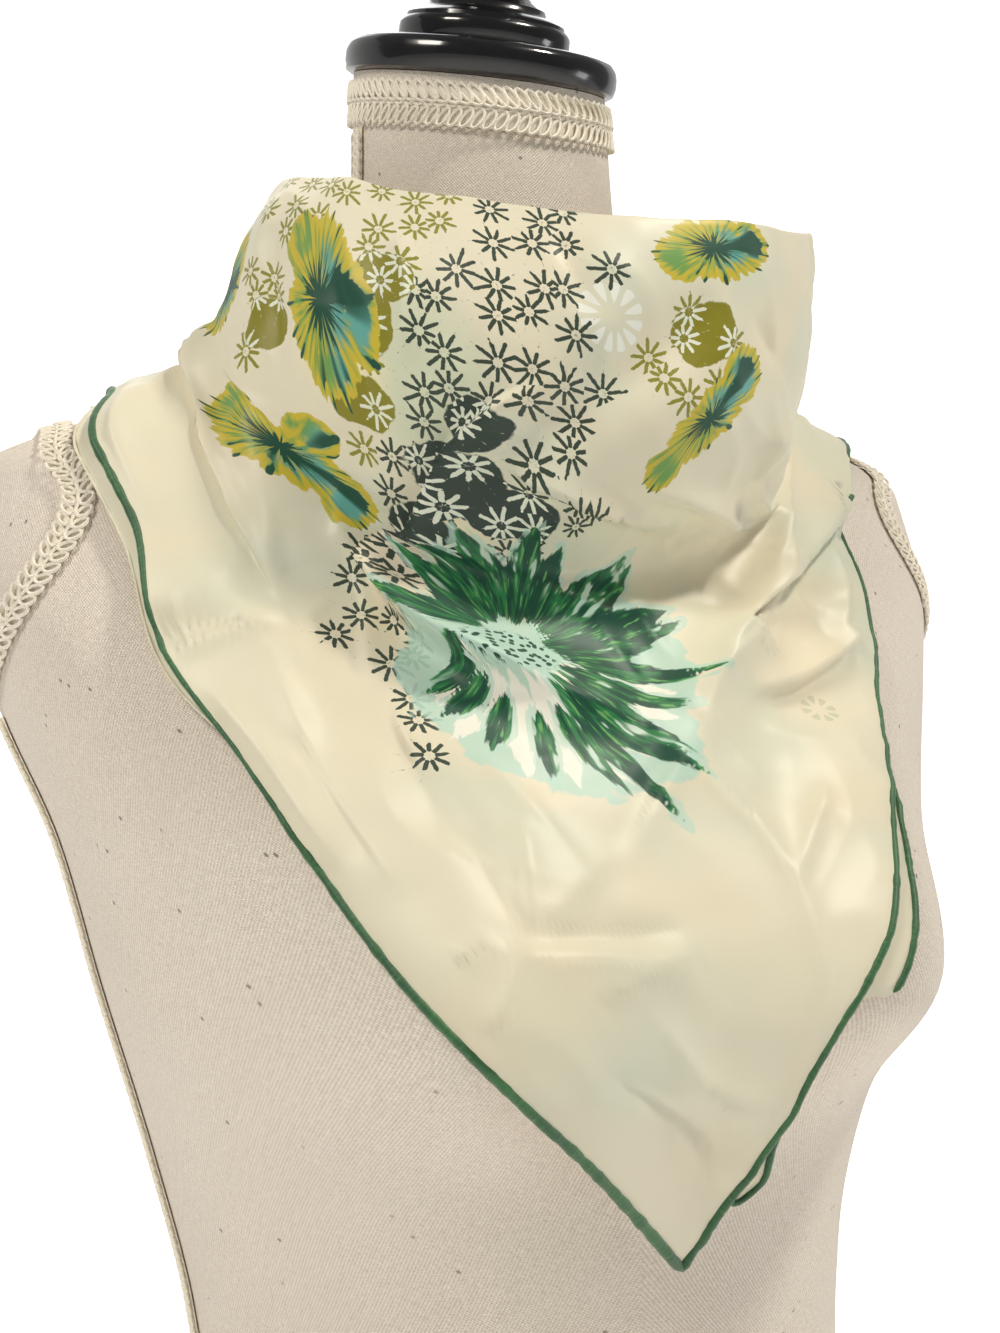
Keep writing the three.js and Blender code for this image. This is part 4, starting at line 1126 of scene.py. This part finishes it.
def printFlower(place, x, y, color):
    dx, dy = x - flower["x"], y - flower["y"]
    radius = (dx * dx + dy * dy) ** 0.5
    streak = spokes(dx, dy, radius, 9, 0.06)
    fine = spokes(dx, dy, radius, 22, 0.1)
    wash = (spots(x, y, mintWash) + place.noise(0.07, 3) * 1.4 - 0.7).ramp(0, 0.1)
    color = (wash * 0.85).mix(color, tint(flower["mint"]))
    carried = [place.add("Attribute", {"attribute_name": name}, None, "Fac")
               for name in ("whitePetal", "greenPetal")]
    white, green = (petal - petalRoom + (fine - 0.5) * 4 for petal in carried)
    color = white.ramp(0, 0.8).mix(color, tint(flower["white"]))
    leaf = (fine * 0.5 + streak * 0.5).ramp(0.46, 0.56).mix(tint(flower["dark"]), tint(flower["mid"]))
    leaf = fine.ramp(0.6, 0.68).mix(leaf, tint(flower["light"]))
    color = (green.ramp(-1.8, -1.2) * streak.ramp(0.44, 0.5) * 0.7).mix(color, tint(flower["mint"]))
    shown = green.ramp(0, 0.7) * (1 - streak.ramp(0.6, 0.66) * radius.ramp(20, 34))
    color = shown.mix(color, leaf)
    heart = spots(x, y, [(flower["x"] + 2, flower["y"] + 4, 13, 9)]) + (fine - 0.5) * 0.8
    color = heart.ramp(0, 0.1).mix(color, tint(flower["mint"]))
    seeds = place.add("TexVoronoi", {"voronoi_dimensions": "2D"}, {"Vector": place, "Scale": 0.42})
    dots = seeds.ramp(0.36, 0.28) * heart.ramp(0.1, 0.3)
    return dots.mix(color, tint(flower["dark"]))


def silkPrint(uv):
    place = uv.stretched(1000, 1000)
    x, y = place.part(0), place.part(1)
    color = place.noise(0.02, 2).ramp(0.35, 0.65).mix(tint(silkLook["cool"]), tint(silkLook["warm"]))
    color = place.noise(0.011, 1).ramp(0.3, 0.62).mix(color, tint(silkLook["cream"]))
    # soft patches, greyer or yellower than the cloth, laid over its colour
    for tintPatch in tintPatches:
        color = (spots(x, y, [tintPatch[:4]]).ramp(0, 0.9) * 0.8).mix(color, tint(tintPatch[4]))
    for mark in faintMarks:
        color = printFaint(x, y, color, *mark)
    color = printStars(place, x, y, color)
    color = printFlower(place, x, y, color)
    for bloom in blooms:
        color = printBloom(x, y, color, *bloom)
    return color


# The knot at the nape: gathered lobes each side of the wrap, and two pleated ends below it

knotTable = makeTable([  # aside, half height, half depth
    (-25, 5, 3), (-23.6, 10, 5.4), (-20, 15, 8.2), (-15, 16.4, 9.2), (-11, 13.4, 7.8), (-8.9, 12.6, 7.6),
    (-8.2, 17.2, 10.8), (-4, 19.4, 12.8), (0, 19.8, 13.2), (4, 19.4, 12.8), (8.2, 17.2, 10.8),
    (8.9, 12.6, 7.6), (11, 13.4, 7.8), (15, 16.4, 9.2), (20, 15, 8.2), (23.6, 10, 5.4), (25, 5, 3),
])
knotPlace = {"radius": 80.1, "height": 613, "half": 25, "wrap": 8.6}
tailTable = makeTable([(0, 5.5), (18, 9), (38, 13), (58, 8), (72, 1.6)])
tailLook = {
    "length": 72, "aside": 7.5, "pleat": 2, "waves": 1.6, "width": 12, "shift": 0.25, "fade": 90,
    "lift": 3.9, "over": 0.9, "hemStart": 6, "thickness": 1.2,
}
tails = [
    {"name": "left", "hand": 1, "slant": 17, "start": 42.2},
    {"name": "right", "hand": -1, "slant": 24, "start": 43.6},
]


def makeKnot(material):
    def place(u, v):
        half = knotPlace["half"]
        aside = half * (2 * v - 1)
        halfHeight, halfDepth = readTable(knotTable, aside)
        turn = 2 * math.pi * u
        wrap = np.clip((knotPlace["wrap"] - np.abs(aside)) / 1.2, 0, 1)
        ease = np.clip((half - np.abs(aside)) / 6, 0, 1)
        gathers = 1 + (1 - wrap) * 0.075 * np.sin(9 * turn + aside * 0.12) * ease
        size = gathers + wrap * 0.05 * np.sin(aside * 1.05 + 0.9 * np.sin(turn) + 0.4)
        y = knotPlace["radius"] + halfDepth * size * np.cos(turn)
        height = knotPlace["height"] + halfHeight * size * np.sin(turn) + 1.2 * np.sin(aside / 9)
        return np.stack([aside, y, height], -1)

    def uvAt(u, v):
        return np.stack([plainCloth + 50 * v, 90 * u], -1)

    piece = gridPiece("knot_of_silk", 96, 84, place, uvAt, rolled=True)
    return dress(piece, material, "silk", "knot")


def tailPoint(tail, down, aside, lift):
    lean = tail["slant"] * degree
    x = tailLook["aside"] + down * math.sin(lean) + aside * math.cos(lean)
    y = tail["start"] + down * math.cos(lean) - aside * math.sin(lean)
    radius = onDrape(np.full(x.shape, 179.0), y)[0]
    wave = 1 + np.sin(math.pi * tailLook["waves"] * (aside / tailLook["width"] + tailLook["shift"]))
    out = tailLook["lift"] + tailLook["pleat"] * wave * (1 - down / tailLook["fade"]) + lift
    azimuth = tail["hand"] * (180 - x / radius / degree)
    return clothPoint(azimuth, y, out, fine=0)


def makeTails(material, hemMaterial):
    length, over = tailLook["length"], tailLook["over"]

    def uvAt(u, v):
        return np.stack([plainCloth + 30 * u, length * v], -1)

    made = []
    for tail in tails:
        name = tail["name"]

        def place(u, v):
            down = v * length
            half = readTable(tailTable, down)[0]
            ripple = 0.5 * np.sin(u * 17 + down / 9) * np.clip(1 - down / 60, 0, 1)
            return tailPoint(tail, down, half * (2 * u - 1), over + ripple)

        end = thicken(gridPiece("end_" + name, 30, 60, place, uvAt), tailLook["thickness"])
        dress(end, material, "silk", "tail_" + name)
        down = np.linspace(tailLook["hemStart"], length, 60)
        path = tailPoint(tail, down, readTable(tailTable, down)[0] + hemRoll / 2, over)
        hem = rollTube("hem_end_" + name, path, hemMaterial, ("hem_tail_" + name,), 1.3, seed=9)
        made.append((end, hem))
    return made


silk = silkFinish()
greenHem = hemFinish()
outerLayer, underLayer = makeLayers(silk)
hems = makeHems(greenHem, silk)
knot = makeKnot(silk)
ends = makeTails(silk, greenHem)
print("scarf draped")


# Studio

sweep = {"wide": 7, "near": -5, "far": 2.6, "tall": 5, "bend": 1.2}
# Each lamp: place, power in watts and width, in metres
studio = {
    "floor": 0xf4f3f1, "world": 0.17, "sky": 1.1, "key": (0.75, -0.75, 1.95, 19, 0.2),
    "side": (1.7, -0.6, 0.5, 2, 0.4), "fill": (-1.2, -0.7, 1.7, 15, 0.5), "back": (0.4, 1.5, 1.9, 6, 1.2),
    "glow": 0x8e8f90, "warm": (1, 0.94, 0.84), "plain": (0.98, 0.99, 1),
    "target": (0, 0, 0.42),
}


def makeSweep():  # a floor that curves up into a backdrop, in metres
    bm = bmesh.new()
    bmesh.ops.create_grid(bm, x_segments=1, y_segments=48, size=1)
    near, far, bend = sweep["near"], sweep["far"], sweep["bend"]
    flat = far - near - bend
    quarter = bend * math.pi / 2
    for v in bm.verts:
        run = (v.co.y + 1) / 2 * (far - near + sweep["tall"])
        if run < flat:
            y, z = near + run, 0
        elif run < flat + quarter:
            turn = (run - flat) / bend
            y, z = far - bend + bend * math.sin(turn), bend * (1 - math.cos(turn))
        else:
            y, z = far, bend + run - flat - quarter
        v.co = (v.co.x * sweep["wide"], y, z)
    floor = finishMesh("floor", bm)
    constants = {"Base Color": tint(studio["floor"]), "Roughness": 0.9, "Emission Strength": 1}
    floor.data.materials.append(newMaterial("pale_floor", constants, lambda base: {
        "Emission Color": base.add("LightPath").mix(tint(studio["glow"]), (1, 1, 1, 1))}))


def makeSky():  # seen white, and lights the form less
    world = bpy.data.worlds.new("studio")
    world.use_nodes = True
    base = Field(world.node_tree)
    color = (*studio["plain"], 1)
    cast, seen = (base.add("Background", None, {"Color": color, "Strength": studio[name]})
                  for name in ("world", "sky"))
    both = base.add("MixShader", None, {0: base.add("LightPath"), 1: cast, 2: seen})
    base.tree.links.new(both.socket, base.tree.nodes["World Output"].inputs["Surface"])
    bpy.context.scene.world = world


def makeLamps():
    target = Vector(studio["target"])
    for name in ("key", "side", "fill", "back"):
        x, y, z, power, size = studio[name]
        data = bpy.data.lights.new(name, "AREA")
        data.energy = power
        data.size = size
        data.color = studio["warm" if name in ("key", "fill") else "plain"]
        lamp = bpy.data.objects.new(name, data)
        bpy.context.collection.objects.link(lamp)
        lamp.location = (x, y, z)
        lamp.rotation_euler = (target - lamp.location).to_track_quat("-Z", "Y").to_euler()


makeSweep()
makeSky()
makeLamps()
bpy.context.scene.view_settings.view_transform = "Standard"
print("studio lit")
